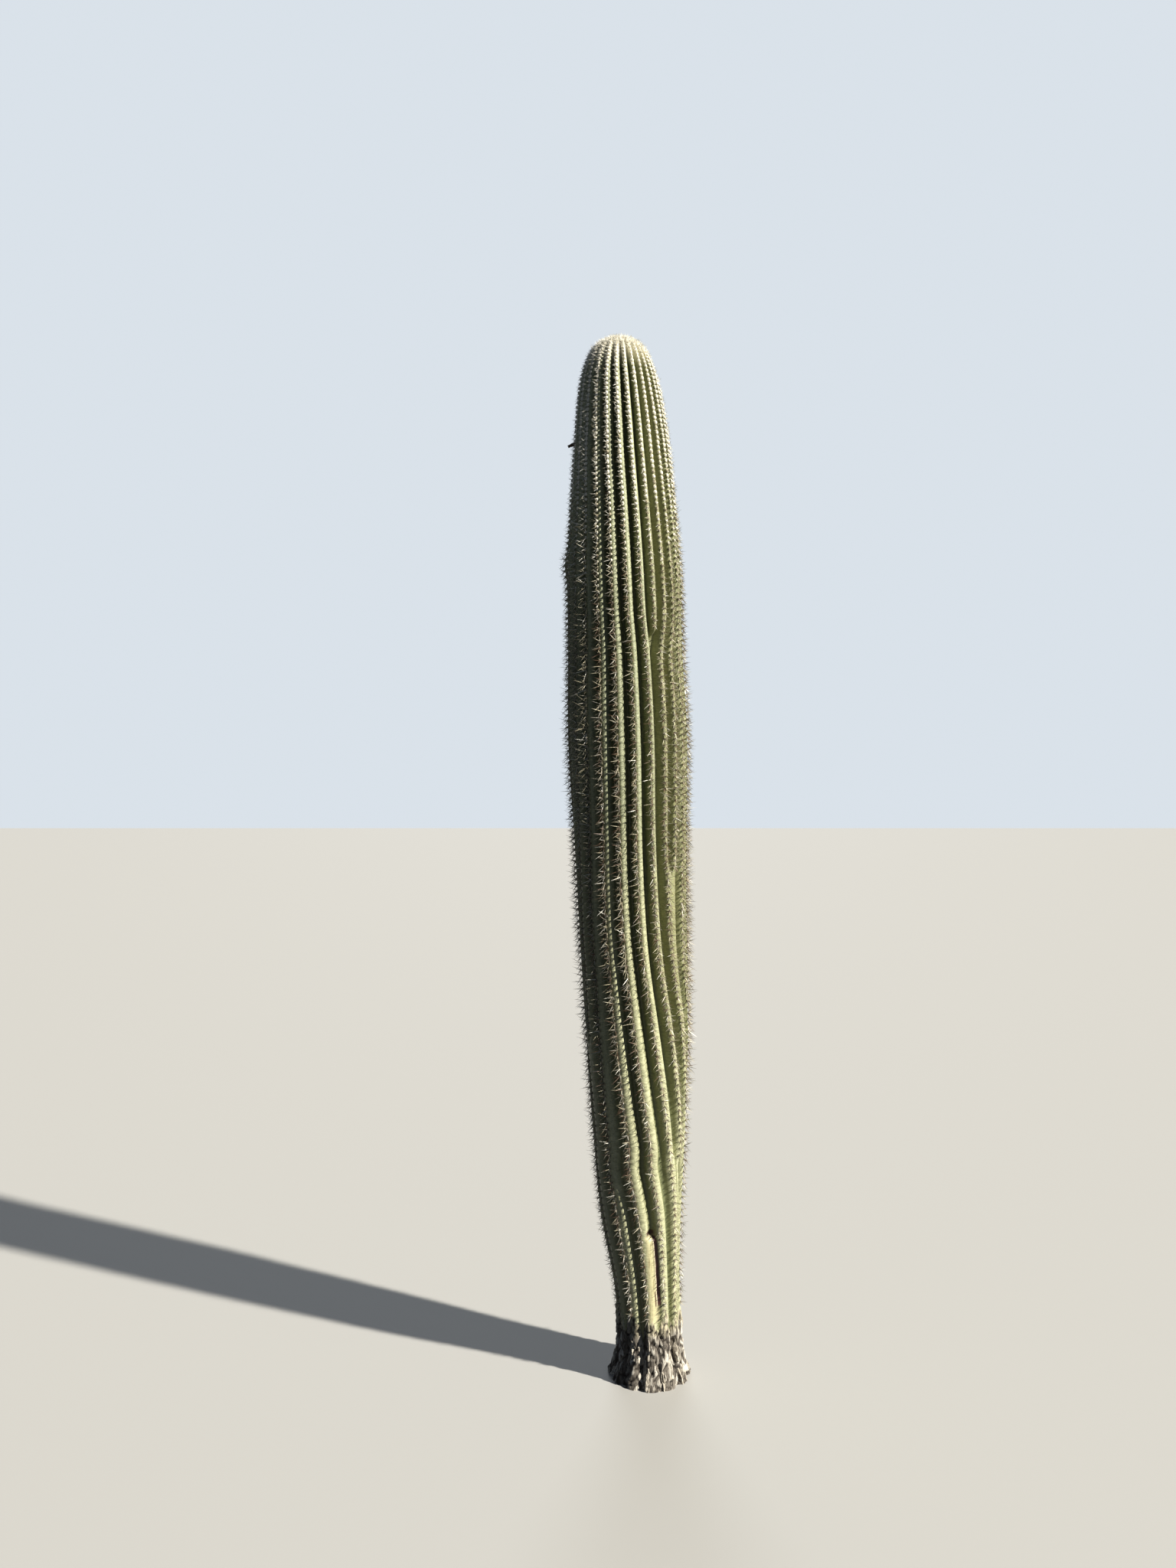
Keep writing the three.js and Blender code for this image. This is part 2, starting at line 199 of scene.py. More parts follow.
@dataclass
class Column:
    """The column's surface, by the same rule and sizes as its CAD solid."""

    # Height, crest radius and sideways lean, from the flat cut to the rim of the level tip
    outline: tuple = (
        (0.000, 0.160, 0.000),
        (0.060, 0.137, 0.001),
        (0.150, 0.125, 0.001),
        (0.356, 0.128, -0.010),
        (0.639, 0.157, -0.034),
        (0.988, 0.180, -0.043),
        (1.337, 0.198, -0.051),
        (1.763, 0.210, -0.066),
        (2.115, 0.218, -0.078),
        (2.500, 0.229, -0.088),
        (2.854, 0.220, -0.098),
        (3.132, 0.217, -0.102),
        (3.430, 0.195, -0.108),
        (3.620, 0.178, -0.112),
        (3.800, 0.155, -0.120),
        (3.900, 0.131, -0.124),
        (3.965, 0.098, -0.124),
        (3.993, 0.062, -0.124),
        (4.000, 0.034, -0.124),
    )
    # Height, and how many degrees right of the front the fourth rib's crest has wound
    winding: tuple = (
        (0.000, 58.0),
        (0.640, 58.0),
        (0.918, 44.2),
        (1.337, 23.6),
        (1.763, 10.1),
        (2.500, 8.8),
        (2.800, 8.0),
        (2.960, 5.3),
        (3.132, 3.7),
        (3.370, 1.5),
        (3.600, -1.4),
        (4.000, -2.0),
    )
    anchor_rib: int = 3
    front_degrees: float = -92.3
    # Ribs in order to the right, starting left of the front
    ribs: tuple = (
        1.0,
        1.0,
        1.0,
        Fork(0.840, 1.0, Fork(2.855, 0.87, 0.87, sprouts=True)),
        Fork(1.950, 0.87, 0.87),
        Fork(1.000, 0.87, 1.0),
        Fork(1.400),
        Fork(1.150, Fork(2.750), Fork(2.150)),
        Fork(1.500, sprouts=True),
        Fork(1.050, 1.0, Fork(2.950)),
        Fork(1.600, Fork(1.850), 1.0),
        Fork(1.300),
    )
    fork_lead: float = 0.350
    fork_growth: float = 0.350
    groove_rise: float = 0.110
    merged_spread: float = 0.5
    sprout_least: float = 0.06
    sprout_lead: float = 0.095
    sprout_growth: float = 0.125
    sprout_rise: float = 0.040
    groove_depth: float = 0.042
    groove_slope: float = 1.4
    # Shape across half a rib: a blunt crest, and where the steep wall beside it starts and ends
    crest_fall: float = 0.15
    wall: tuple = (0.28, 0.85)
    foot_groove: float = 0.35
    foot_height: float = 0.380
    callus_rib: int = 2
    callus_top: float = 0.596
    callus_edge: float = 0.022
    callus_groove: float = 0.3
    swelling_height: float = 3.150
    swelling_degrees: float = -88.0
    swelling_rise: float = 0.011
    swelling_tall: float = 0.060
    swelling_wide_degrees: float = 32.0
    # Clusters of spines: distance along a crest between them, by height
    cluster_steps: tuple = (
        (0.000, 0.027),
        (1.300, 0.025),
        (2.200, 0.0225),
        (2.700, 0.0235),
        (3.150, 0.0220),
        (3.450, 0.0192),
        (3.850, 0.0180),
        (3.960, 0.0140),
        (4.000, 0.0110),
    )
    # Direction that the key light shines from, from +X: painted light and shade on the skin, and the
    # spines' lengths, follow it
    sunny_degrees: float = -24.5
    # Relief of the flesh: wandering crests, and swellings under the clusters. Each grows to its full
    # size over a range of heights, and over a range of distances below the end of the outline
    crest_wander: float = 0.0022
    crest_wander_length: float = 0.30
    crest_wander_cells: tuple = (3.7, 0.5)
    crest_wander_low: tuple = (0.02, 0.30)
    crest_wander_high: tuple = (0.03, 0.30)
    cluster_swell: float = 0.0013
    cluster_swell_width: float = 0.34
    cluster_swell_low: tuple = (0.25, 0.60)
    cluster_swell_high: tuple = (0.00, 0.08)
    # The corky foot: where it ends, and how far strips and crests carry it up
    bark_top: float = 0.230
    bark_ragged: float = 0.0375
    bark_strips: float = 0.045
    bark_crest_rise: float = 0.050
    bark_edge: float = 0.008
    # Noise on the bark: cells round the column, cells per metre, and the cell that it starts in
    bark_ragged_noise: tuple = (31, 9.0, 7.3)
    bark_strip_noise: tuple = (120, 5.0, 3.1)
    bark_bend_noise: tuple = (37, 22.0, 0.0)
    bark_grain_noise: tuple = (148, 34.0, 5.0)
    # Plates of bark: how many there are round the foot, and how far their rows bend, in plates
    bark_plates: int = 60
    bark_plate_rows: int = 64
    bark_plate_tall: float = 0.052
    bark_first_row: int = 9
    bark_bend: tuple = (0.9, 0.3)
    bark_crack: tuple = (0.02, 0.55)
    # Relief of the bark, with the shares that all of it, its plates' tones and its grain have in it
    bark_relief: float = 0.0085
    bark_shares: tuple = (0.35, 0.4, 0.2)
    bark_low: tuple = (0.0, 0.012)
    # The wound: a slit in the callus, right of the groove's middle, and the hollow over the callus
    slit_low: tuple = (0.318, 0.368)
    slit_high: tuple = (0.588, 0.596)
    slit_aside: float = 0.007
    slit_width: float = 0.0055
    slit_depth: float = 0.007
    wound_wobble: float = 0.0022
    wound_noise: tuple = (27.0, 40.5)
    pit_height: float = 0.604
    pit_aside: float = -0.006
    pit_depth: float = 0.013
    pit_tall: float = 0.012
    pit_wide: float = 0.016
    table_rows: int = 1700

    def __post_init__(self) -> None:
        """Works out the curves and the table of ribs that all readings use."""
        rows = np.array(self.outline)
        steps = np.hypot(np.diff(rows[:, 0]), np.diff(rows[:, 1]))
        self.curve = SmoothCurve(np.concatenate([[0.0], np.cumsum(steps)]), rows)
        self.length = float(self.curve.knots[-1])
        wound = np.array(self.winding)
        self.wound = SmoothCurve(wound[:, 0], wound[:, 1:])
        self.noise = SmoothNoise(SEED)
        self.plates = Cells(SEED + 7, self.bark_plates, self.bark_plate_rows)
        self.places = np.linspace(0, self.length, self.table_rows)
        self.heights = self.curve.at(self.places)[:, 0]
        self.crests, self.grooves, self.depths, self.sunk = self._lay_out(self.heights)
        self.rib_count = self.crests.shape[1]
        step = np.interp(self.heights, *np.array(self.cluster_steps).T)
        self.cluster_count = np.concatenate([[0.0], np.cumsum(np.diff(self.places) / step[1:])])
        self.cluster_shift = np.random.default_rng(SEED).uniform(0, 1, self.rib_count)

    def _shares(self, branch: Fork, heights: np.ndarray) -> tuple[np.ndarray, np.ndarray]:
        """Widths that the two branches of a fork want.

        Args:
            branch: The fork.
            heights: Heights.

        Returns:
            The left branch's width and the right one's at each height.
        """
        left, right = self._share(branch.left, heights), self._share(branch.right, heights)
        if branch.sprouts:
            low, high = branch.height - self.sprout_lead, branch.height + self.sprout_growth
            right = right * (self.sprout_least + (1 - self.sprout_least) * smoothstep(heights, low, high))
        return left, right

    def _share(self, branch: Fork | float, heights: np.ndarray) -> np.ndarray:
        """Width that a branch wants.

        Args:
            branch: The branch.
            heights: Heights.

        Returns:
            One width for each height.
        """
        if not isinstance(branch, Fork):
            return np.full_like(heights, branch)
        left, right = self._shares(branch, heights)
        if branch.sprouts:
            return left + right
        grown = smoothstep(heights, branch.height - self.fork_lead, branch.height + self.fork_growth)
        return 1 + (left + right - 1) * grown

    def _spread(self, branch: Fork | float, heights: np.ndarray, start: np.ndarray,
                width: np.ndarray) -> list[list[np.ndarray]]:
        """Spreads a branch over its share of the turn.

        Args:
            branch: The branch to spread.
            heights: Heights to spread it at.
            start: Angle of its left groove at each height.
            width: Angle that it covers at each height.

        Returns:
            For each of its ribs the angles of the crest and of the left groove, and the shares of the
            full depth that the groove and the crest have sunk.
        """
        if not isinstance(branch, Fork):
            return [[start + width / 2, start, np.ones_like(heights), np.zeros_like(heights)]]
        left_share, right_share = self._shares(branch, heights)
        left_width = width * left_share / (left_share + right_share)
        ribs = self._spread(branch.left, heights, start, left_width)
        right_start = len(ribs)
        ribs += self._spread(branch.right, heights, start + left_width, width - left_width)
        if branch.sprouts:
            risen = smoothstep(heights, branch.height, branch.height + self.sprout_rise)
            ribs[right_start][3] = 1 - risen
            return ribs
        opened = smoothstep(heights, branch.height, branch.height + self.groove_rise)
        ribs[right_start][2] = opened
        spread = self.merged_spread + (1 - self.merged_spread) * opened
        middle = start + width / 2
        for i, rib in enumerate(ribs):
            rib[0] = middle + (rib[0] - middle) * spread
            if i > 0:
                rib[1] = middle + (rib[1] - middle) * spread
        return ribs

    def _lay_out(self, heights: np.ndarray) -> tuple[np.ndarray, ...]:
        """Lays out all ribs.

        Args:
            heights: Heights.

        Returns:
            Crest angles, groove angles, and the shares of the full depth that grooves and crests
            have sunk: a row for each height and a column for each rib.
        """
        shares = [self._share(branch, heights) for branch in self.ribs]
        total = sum(shares)
        start = np.zeros_like(heights)
        ribs = []
        for branch, share in zip(self.ribs, shares):
            width = TAU * share / total
            ribs += self._spread(branch, heights, start, width)
            start = start + width
        crests, grooves, depths, sunk = (np.stack([rib[k] for rib in ribs], axis=1) for k in range(4))
        filled = smoothstep(heights, self.callus_top - self.callus_edge, self.callus_top)
        depths[:, self.callus_rib] *= self.callus_groove + (1 - self.callus_groove) * filled
        wound = np.radians(self.front_degrees + self.wound.at(heights)[:, 0])
        turn = (wound - crests[:, self.anchor_rib])[:, None]
        return crests + turn, grooves + turn, depths, sunk

    def _read(self, table: np.ndarray, place: np.ndarray, rib: np.ndarray) -> np.ndarray:
        """Reads a table of ribs between its rows.

        Args:
            table: The table.
            place: Places along the outline.
            rib: Rib numbers.

        Returns:
            One number for each address.
        """
        row = np.clip(place / self.length, 0, 1) * (self.table_rows - 1)
        i = np.minimum(row.astype(int), self.table_rows - 2)
        t = row - i
        return table[i, rib] * (1 - t) + table[i + 1, rib] * t

    def _depth(self, height: np.ndarray, radius: np.ndarray) -> np.ndarray:
        """Depth of a full groove.

        Args:
            height: Heights.
            radius: Crest radii.

        Returns:
            One depth for each height.
        """
        rim = self.outline[-1][1]
        foot = self.foot_groove + (1 - self.foot_groove) * smoothstep(height, 0, self.foot_height)
        narrow = self.groove_slope * math.pi * radius / self.rib_count
        return np.minimum(self.groove_depth * foot, narrow) * smoothstep(radius, rim, 2 * rim)

    def _noise_round(self, angle: np.ndarray, height: np.ndarray, around: int, per_metre: float,
                     start: float) -> np.ndarray:
        """Noise round the column, with its cells round it, its cells per metre and its first cell."""
        return self.noise.at(angle / TAU * around, height * per_metre + start, around)

    def _bark(self, height: np.ndarray, angle: np.ndarray, reach: np.ndarray) -> np.ndarray:
        """Share of cork over the skin: 1 at the foot, ending in ragged strips that climb the crests.

        Args:
            height: Heights.
            angle: Angles round the column.
            reach: Distances from the crest, 1 in the groove.

        Returns:
            One share for each point.
        """
        edge = self.bark_top + self.bark_crest_rise * (0.5 - reach)
        edge += self.bark_ragged * self._noise_round(angle, height, *self.bark_ragged_noise)
        edge += self.bark_strips * self._noise_round(angle, height, *self.bark_strip_noise)
        return 1 - smoothstep(height - edge, -self.bark_edge, self.bark_edge)

    def _bark_plates(self, height: np.ndarray, angle: np.ndarray) -> tuple[np.ndarray, np.ndarray]:
        """Reads the bark's plates.

        Args:
            height: Heights.
            angle: Angles round the column.

        Returns:
            The share of crack between plates, and each plate's tone.
        """
        bend = self._noise_round(angle, height, *self.bark_bend_noise)
        x = angle / TAU * self.bark_plates + self.bark_bend[0] * bend
        y = height / self.bark_plate_tall + self.bark_first_row + self.bark_bend[1] * bend
        split, tone = self.plates.at(x % self.bark_plates, y)
        return 1 - smoothstep(split, *self.bark_crack), tone

    def _relief(self, place: np.ndarray, height: np.ndarray, rib: np.ndarray, across: np.ndarray,
                angle: np.ndarray) -> np.ndarray:
        """How far the flesh stands out of the plain ribs: wandering crests, swellings under the
        clusters, the wound's slit and pit, and cork.

        Args:
            place: Places along the outline.
            height: Heights.
            rib: Rib numbers.
            across: Places across the rib.
            angle: Angles round the column.

        Returns:
            One rise for each address.
        """
        reach = np.abs(across)
        below_end = self.length - place
        risen = 1 - self._read(self.sunk, place, rib)
        step, start = self.crest_wander_cells
        wander = self.noise.at(rib * step + start, place / self.crest_wander_length) * (1 - reach)
        wander *= smoothstep(height, *self.crest_wander_low)
        wander *= smoothstep(below_end, *self.crest_wander_high)
        phase = np.interp(place, self.places, self.cluster_count) + self.cluster_shift[rib]
        swell = np.cos(TAU * phase) * bell(reach, 0.0, self.cluster_swell_width)
        swell *= smoothstep(height, *self.cluster_swell_low)
        swell *= smoothstep(below_end, *self.cluster_swell_high)
        flesh = risen * (self.crest_wander * wander + self.cluster_swell * swell)
        crack, tone = self._bark_plates(height, angle)
        grain = self._noise_round(angle, height, *self.bark_grain_noise)
        everywhere, by_tone, by_grain = self.bark_shares
        bark = everywhere + by_tone * tone - crack + by_grain * grain
        bark *= self.bark_relief * self._bark(height, angle, reach) * smoothstep(height, *self.bark_low)
        return flesh + bark - self._wound_depth(place, height, angle)

    def _from_wound(self, place: np.ndarray, angle: np.ndarray) -> np.ndarray:
        """Distance along the surface to the right of the wound's groove, a little wavering.

        Args:
            place: Places along the outline.
            angle: Angles round the column.

        Returns:
            One distance for each address.
        """
        height, radius, _ = self.curve.at(place).T
        groove = self._read(self.grooves, place, np.full(len(place), self.callus_rib))
        off = np.angle(np.exp(1j * (angle - groove))) * radius
        per_metre, row = self.wound_noise
        wobble = self.noise.at(height * per_metre, np.full_like(height, row))
        return off + self.wound_wobble * wobble

    def _wound_depth(self, place: np.ndarray, height: np.ndarray, angle: np.ndarray) -> np.ndarray:
        """Depth of the slit and the pit in the filled groove.

        Args:
            place: Places along the outline.
            height: Heights.
            angle: Angles round the column.

        Returns:
            One depth for each address.
        """
        off = self._from_wound(place, angle)
        along = smoothstep(height, *self.slit_low) * (1 - smoothstep(height, *self.slit_high))
        slit = self.slit_depth * along * bell(off, self.slit_aside, self.slit_width)
        pit = self.pit_depth * bell(height, self.pit_height, self.pit_tall)
        return slit + pit * bell(off, self.pit_aside, self.pit_wide)

    def _lie(self, place: np.ndarray, rib: np.ndarray,
             across: np.ndarray) -> tuple[np.ndarray, np.ndarray, np.ndarray]:
        """Finds where addresses lie.

        Args:
            place: Places along the outline.
            rib: Rib numbers.
            across: Places across the rib.

        Returns:
            The angle of each, with the shares of the full depth that its crest and the groove on its
            side of the crest have sunk.
        """
        following = (rib + 1) % self.rib_count
        round_again = np.where(rib + 1 == self.rib_count, TAU, 0.0)
        crest = self._read(self.crests, place, rib)
        left = self._read(self.grooves, place, rib)
        right = self._read(self.grooves, place, following) + round_again
        left_share = self._read(self.depths, place, rib)
        right_share = self._read(self.depths, place, following)
        angle = crest + (np.where(across < 0, left, right) - crest) * np.abs(across)
        return angle, self._read(self.sunk, place, rib), np.where(across < 0, left_share, right_share)

    def masks(self, place: np.ndarray, rib: np.ndarray, across: np.ndarray) -> dict[str, np.ndarray]:
        """What lies where on the surface, for its finish.

        Args:
            place: Places along the outline.
            rib: Rib numbers.
            across: Places across the rib.

        Returns:
            For each address: depth towards a groove, side of the crest, how much it faces the key light
                (for
            painted light and shade), bark with its cracks and plates, and millimetres to the right of the
            wound.
        """
        height = self.curve.at(place)[:, 0]
        reach = np.abs(across)
        angle, sunk, share = self._lie(place, rib, across)
        crack, tone = self._bark_plates(height, angle)
        return {
            "groove": sunk + (share - sunk) * reach,
            "side": across * (1 - sunk),
            "sunward": np.cos(angle - math.radians(self.sunny_degrees)),
            "bark": self._bark(height, angle, reach),
            "crack": crack,
            "plate": tone,
            "wound": 1000 * self._from_wound(place, angle),
        }

    def points(self, place: np.ndarray, rib: np.ndarray, across: np.ndarray,
               relief: bool = True) -> np.ndarray:
        """Points of the surface.

        Args:
            place: Places along the outline.
            rib: Rib numbers.
            across: Places across the rib, from -1 in its left groove over 0 on its crest to 1.
            relief: Whether the flesh's own relief is added to the plain ribs.

        Returns:
            One point for each address.
        """
        height, radius, lean = self.curve.at(place).T
        reach = np.abs(across)
        angle, sunk, share = self._lie(place, rib, across)
        profile = self.crest_fall * reach ** 2 + (1 - self.crest_fall) * smoothstep(reach, *self.wall)
        fall = self._depth(height, radius) * (sunk + (share - sunk) * profile)
        turned = angle - math.radians(self.front_degrees + self.swelling_degrees)
        off = np.degrees(np.angle(np.exp(1j * turned)))
        swelling = bell(height, self.swelling_height, self.swelling_tall)
        swelling = self.swelling_rise * swelling * bell(off, 0.0, self.swelling_wide_degrees)
        out = radius - fall + swelling
        if relief:
            out = out + self._relief(place, height, rib, across, angle)
        return np.stack([lean + out * np.cos(angle), out * np.sin(angle), height], axis=1)

    def frames(self, place: np.ndarray, rib: np.ndarray, across: np.ndarray) -> np.ndarray:
        """Directions on the surface.

        Args:
            place: Places along the outline.
            rib: Rib numbers.
            across: Places across the rib.

        Returns:
            Rows to the right, up along the rib and outwards, for each address.
        """
        step, nudge = 0.006, 0.05
        low, high = np.maximum(place - step, 0), np.minimum(place + step, self.length)
        up = unit(self.points(high, rib, across, False) - self.points(low, rib, across, False))
        left, right = np.maximum(across - nudge, -1), np.minimum(across + nudge, 1)
        around = self.points(place, rib, right, False) - self.points(place, rib, left, False)
        around = unit(around - up * np.sum(around * up, axis=1, keepdims=True))
        return np.stack([around, up, np.cross(around, up)], axis=1)

    def place_at(self, height: float) -> float:
        """Place along the outline where it reaches a height."""
        return float(np.interp(height, self.heights, self.places))

    def nearest_rib(self, height: float, degrees: float) -> int:
        """Finds the rib whose crest is nearest to an angle.

        Args:
            height: The height.
            degrees: Degrees right of the front.

        Returns:
            The rib's number.
        """
        row = int(np.argmin(np.abs(self.heights - height)))
        off = self.crests[row] - math.radians(self.front_degrees + degrees)
        return int(np.argmin(np.abs(np.angle(np.exp(1j * off)))))


def rib_starts(branches: tuple, lowest: float, delay: float) -> list[float]:
    """Height where each rib's own row of spines starts.

    Args:
        branches: The ribs at the foot with their forks.
        lowest: Where the rows of the unforked ribs start.
        delay: How far above its fork a new rib's row starts.

    Returns:
        One height for each rib, in order to the right.
    """
    def starts(branch: Fork | float, start: float) -> list[float]:
        """Heights for the ribs of one branch.

        Args:
            branch: The branch.
            start: Height where its row starts.

        Returns:
            One height for each.
        """
        if not isinstance(branch, Fork):
            return [start]
        return starts(branch.left, start) + starts(branch.right, branch.height + delay)

    return [height for branch in branches for height in starts(branch, lowest)]


def make_piece(name: str, vertices: np.ndarray, faces: list[np.ndarray],
               materials: list[bpy.types.Material], face_materials: np.ndarray | None = None,
               smooth: bool = True) -> bpy.types.Object:
    """Makes an object from arrays.

    Args:
        name: The piece's name.
        vertices: Points, one row each.
        faces: Arrays of faces, each with rows of equal length.
        materials: The piece's finishes.
        face_materials: Number of each face's finish, or None for the first.
        smooth: Whether faces are shaded smooth.

    Returns:
        The new object, at the origin.
    """
    mesh = bpy.data.meshes.new(name)
    mesh.vertices.add(len(vertices))
    mesh.vertices.foreach_set("co", np.ascontiguousarray(vertices, np.float32).ravel())
    corners = np.concatenate([part.ravel() for part in faces]).astype(np.int32)
    sizes = np.concatenate([np.full(len(part), part.shape[1]) for part in faces])
    starts = np.concatenate([[0], np.cumsum(sizes)[:-1]]).astype(np.int32)
    mesh.loops.add(len(corners))
    mesh.loops.foreach_set("vertex_index", corners)
    mesh.polygons.add(len(sizes))
    mesh.polygons.foreach_set("loop_start", starts)
    for material in materials:
        mesh.materials.append(material)
    mesh.update(calc_edges=True)
    if face_materials is not None:
        mesh.polygons.foreach_set("material_index", face_materials.astype(np.int32))
    mesh.polygons.foreach_set("use_smooth", np.full(len(sizes), smooth))
    mesh.validate()
    piece = bpy.data.objects.new(name, mesh)
    bpy.context.scene.collection.objects.link(piece)
    return piece


def dress(piece: bpy.types.Object, slot: str, *nodes: str) -> None:
    """Fixes a finished piece to the plant's body, and hides the CAD nodes that it stands for.

    Args:
        piece: The piece.
        slot: Not used.
        nodes: Names of the CAD nodes.
    """
    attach(piece, BODY)
    if nodes:
        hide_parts(*nodes)
    triangles = sum(len(polygon.vertices) - 2 for polygon in piece.data.polygons)
    log.info("%s: %d triangles", piece.name, triangles)


@dataclass
class Pattern:
    """A small shape that is modelled once and copied many times into one joined piece."""

    vertices: np.ndarray
    triangles: np.ndarray

    @classmethod
    def from_object(cls, modelled: bpy.types.Object) -> "Pattern":
        """Takes the shape of a modelled object, and removes the object.

        Args:
            modelled: The object, at the origin.

        Returns:
            Its shape as arrays.
        """
        mesh, vertices = modelled.data, vertex_array(modelled)
        mesh.calc_loop_triangles()
        triangles = np.zeros(len(mesh.loop_triangles) * 3, np.int32)
        mesh.loop_triangles.foreach_get("vertices", triangles)
        bpy.data.objects.remove(modelled)
        bpy.data.meshes.remove(mesh)
        return cls(vertices, triangles.reshape(-1, 3))

    def scatter(self, roots: np.ndarray, frames: np.ndarray,
                scales: np.ndarray) -> tuple[np.ndarray, np.ndarray]:
        """Copies the shape.

        Args:
            roots: Where each copy stands.
            frames: Directions of each copy's X, Y and Z, as rows.
            scales: Size of each copy along its X, Y and Z.

        Returns:
            Points and triangles of all copies.
        """
        sized = self.vertices[None, :, :] * scales[:, None, :]
        points = roots[:, None, :] + np.einsum("nvk,nkc->nvc", sized, frames)
        shifts = np.arange(len(roots))[:, None, None] * len(self.vertices)
        return points.reshape(-1, 3), (self.triangles[None] + shifts).reshape(-1, 3)


def start_modelling() -> None:
    """Leaves edit mode and deselects everything."""
    if bpy.context.object is not None and bpy.context.object.mode != "OBJECT":
        bpy.ops.object.mode_set(mode="OBJECT")
    bpy.ops.object.select_all(action="DESELECT")


def select_vertices(modelled: bpy.types.Object, chosen: np.ndarray) -> None:
    """Selects vertices of the object that is being edited.

    Args:
        modelled: The object.
        chosen: Yes or no for each vertex.
    """
    bpy.ops.object.mode_set(mode="OBJECT")
    mesh = modelled.data
    mesh.polygons.foreach_set("select", np.zeros(len(mesh.polygons), bool))
    mesh.edges.foreach_set("select", np.zeros(len(mesh.edges), bool))
    mesh.vertices.foreach_set("select", chosen)
    bpy.ops.object.mode_set(mode="EDIT")
    bpy.ops.mesh.select_mode(type="VERT")


def vertex_array(modelled: bpy.types.Object) -> np.ndarray:
    """Reads the points of an object's mesh.

    Args:
        modelled: The object.

    Returns:
        One row for each vertex.
    """
    points = np.zeros(len(modelled.data.vertices) * 3)
    modelled.data.vertices.foreach_get("co", points)
    return points.reshape(-1, 3)


def roughen(modelled: bpy.types.Object, name: str, size: float, height: float) -> None:
    """Moves the surface of the active object in and out by a cloudy pattern.

    Args:
        modelled: The object.
        name: The pattern's name.
        size: Size of its lumps.
        height: How far it moves the surface.
    """
    lumps = bpy.data.textures.new(name, "CLOUDS")
    lumps.noise_scale = size
    displace = modelled.modifiers.new(name, "DISPLACE")
    displace.texture = lumps
    displace.strength = height
    bpy.ops.object.modifier_apply(modifier=displace.name)


def model_spine() -> Pattern:
    """Models one spine, 1 long and 1 thick at its root: three-sided, tapering and a little bent.

    Returns:
        Its shape.
    """
    root_radius, bend_radius = 0.5, 0.36
    bend_height, bend_aside = 0.55, 0.16
    start_modelling()
    bpy.ops.mesh.primitive_cone_add(vertices=3, radius1=root_radius, radius2=bend_radius,
                                    depth=bend_height, end_fill_type="TRIFAN",
                                    location=(0, 0, bend_height / 2))
    spine = bpy.context.object
    bpy.ops.object.transform_apply(location=True, rotation=True, scale=True)
    points = vertex_array(spine)
    on_axis = np.hypot(points[:, 0], points[:, 1]) < bend_radius / 2
    bpy.ops.object.mode_set(mode="EDIT")
    select_vertices(spine, on_axis & (points[:, 2] > bend_height / 2))
    bpy.ops.transform.translate(value=(bend_aside, 0, 1 - bend_height))
    bpy.ops.object.mode_set(mode="OBJECT")
    return Pattern.from_object(spine)


def model_felt_pad() -> Pattern:
    """Models one felt pad, 1 across: a low cushion with a flat underside.

    Returns:
        Its shape.
    """
    start_modelling()
    bpy.ops.mesh.primitive_uv_sphere_add(segments=7, ring_count=4, radius=0.5, location=(0, 0, 0))
    pad = bpy.context.object
    bpy.ops.object.mode_set(mode="EDIT")
    bpy.ops.mesh.select_all(action="SELECT")
    bpy.ops.mesh.bisect(plane_co=(0, 0, -0.05), plane_no=(0, 0, 1), use_fill=True, clear_inner=True)
    bpy.ops.object.mode_set(mode="OBJECT")
    return Pattern.from_object(pad)


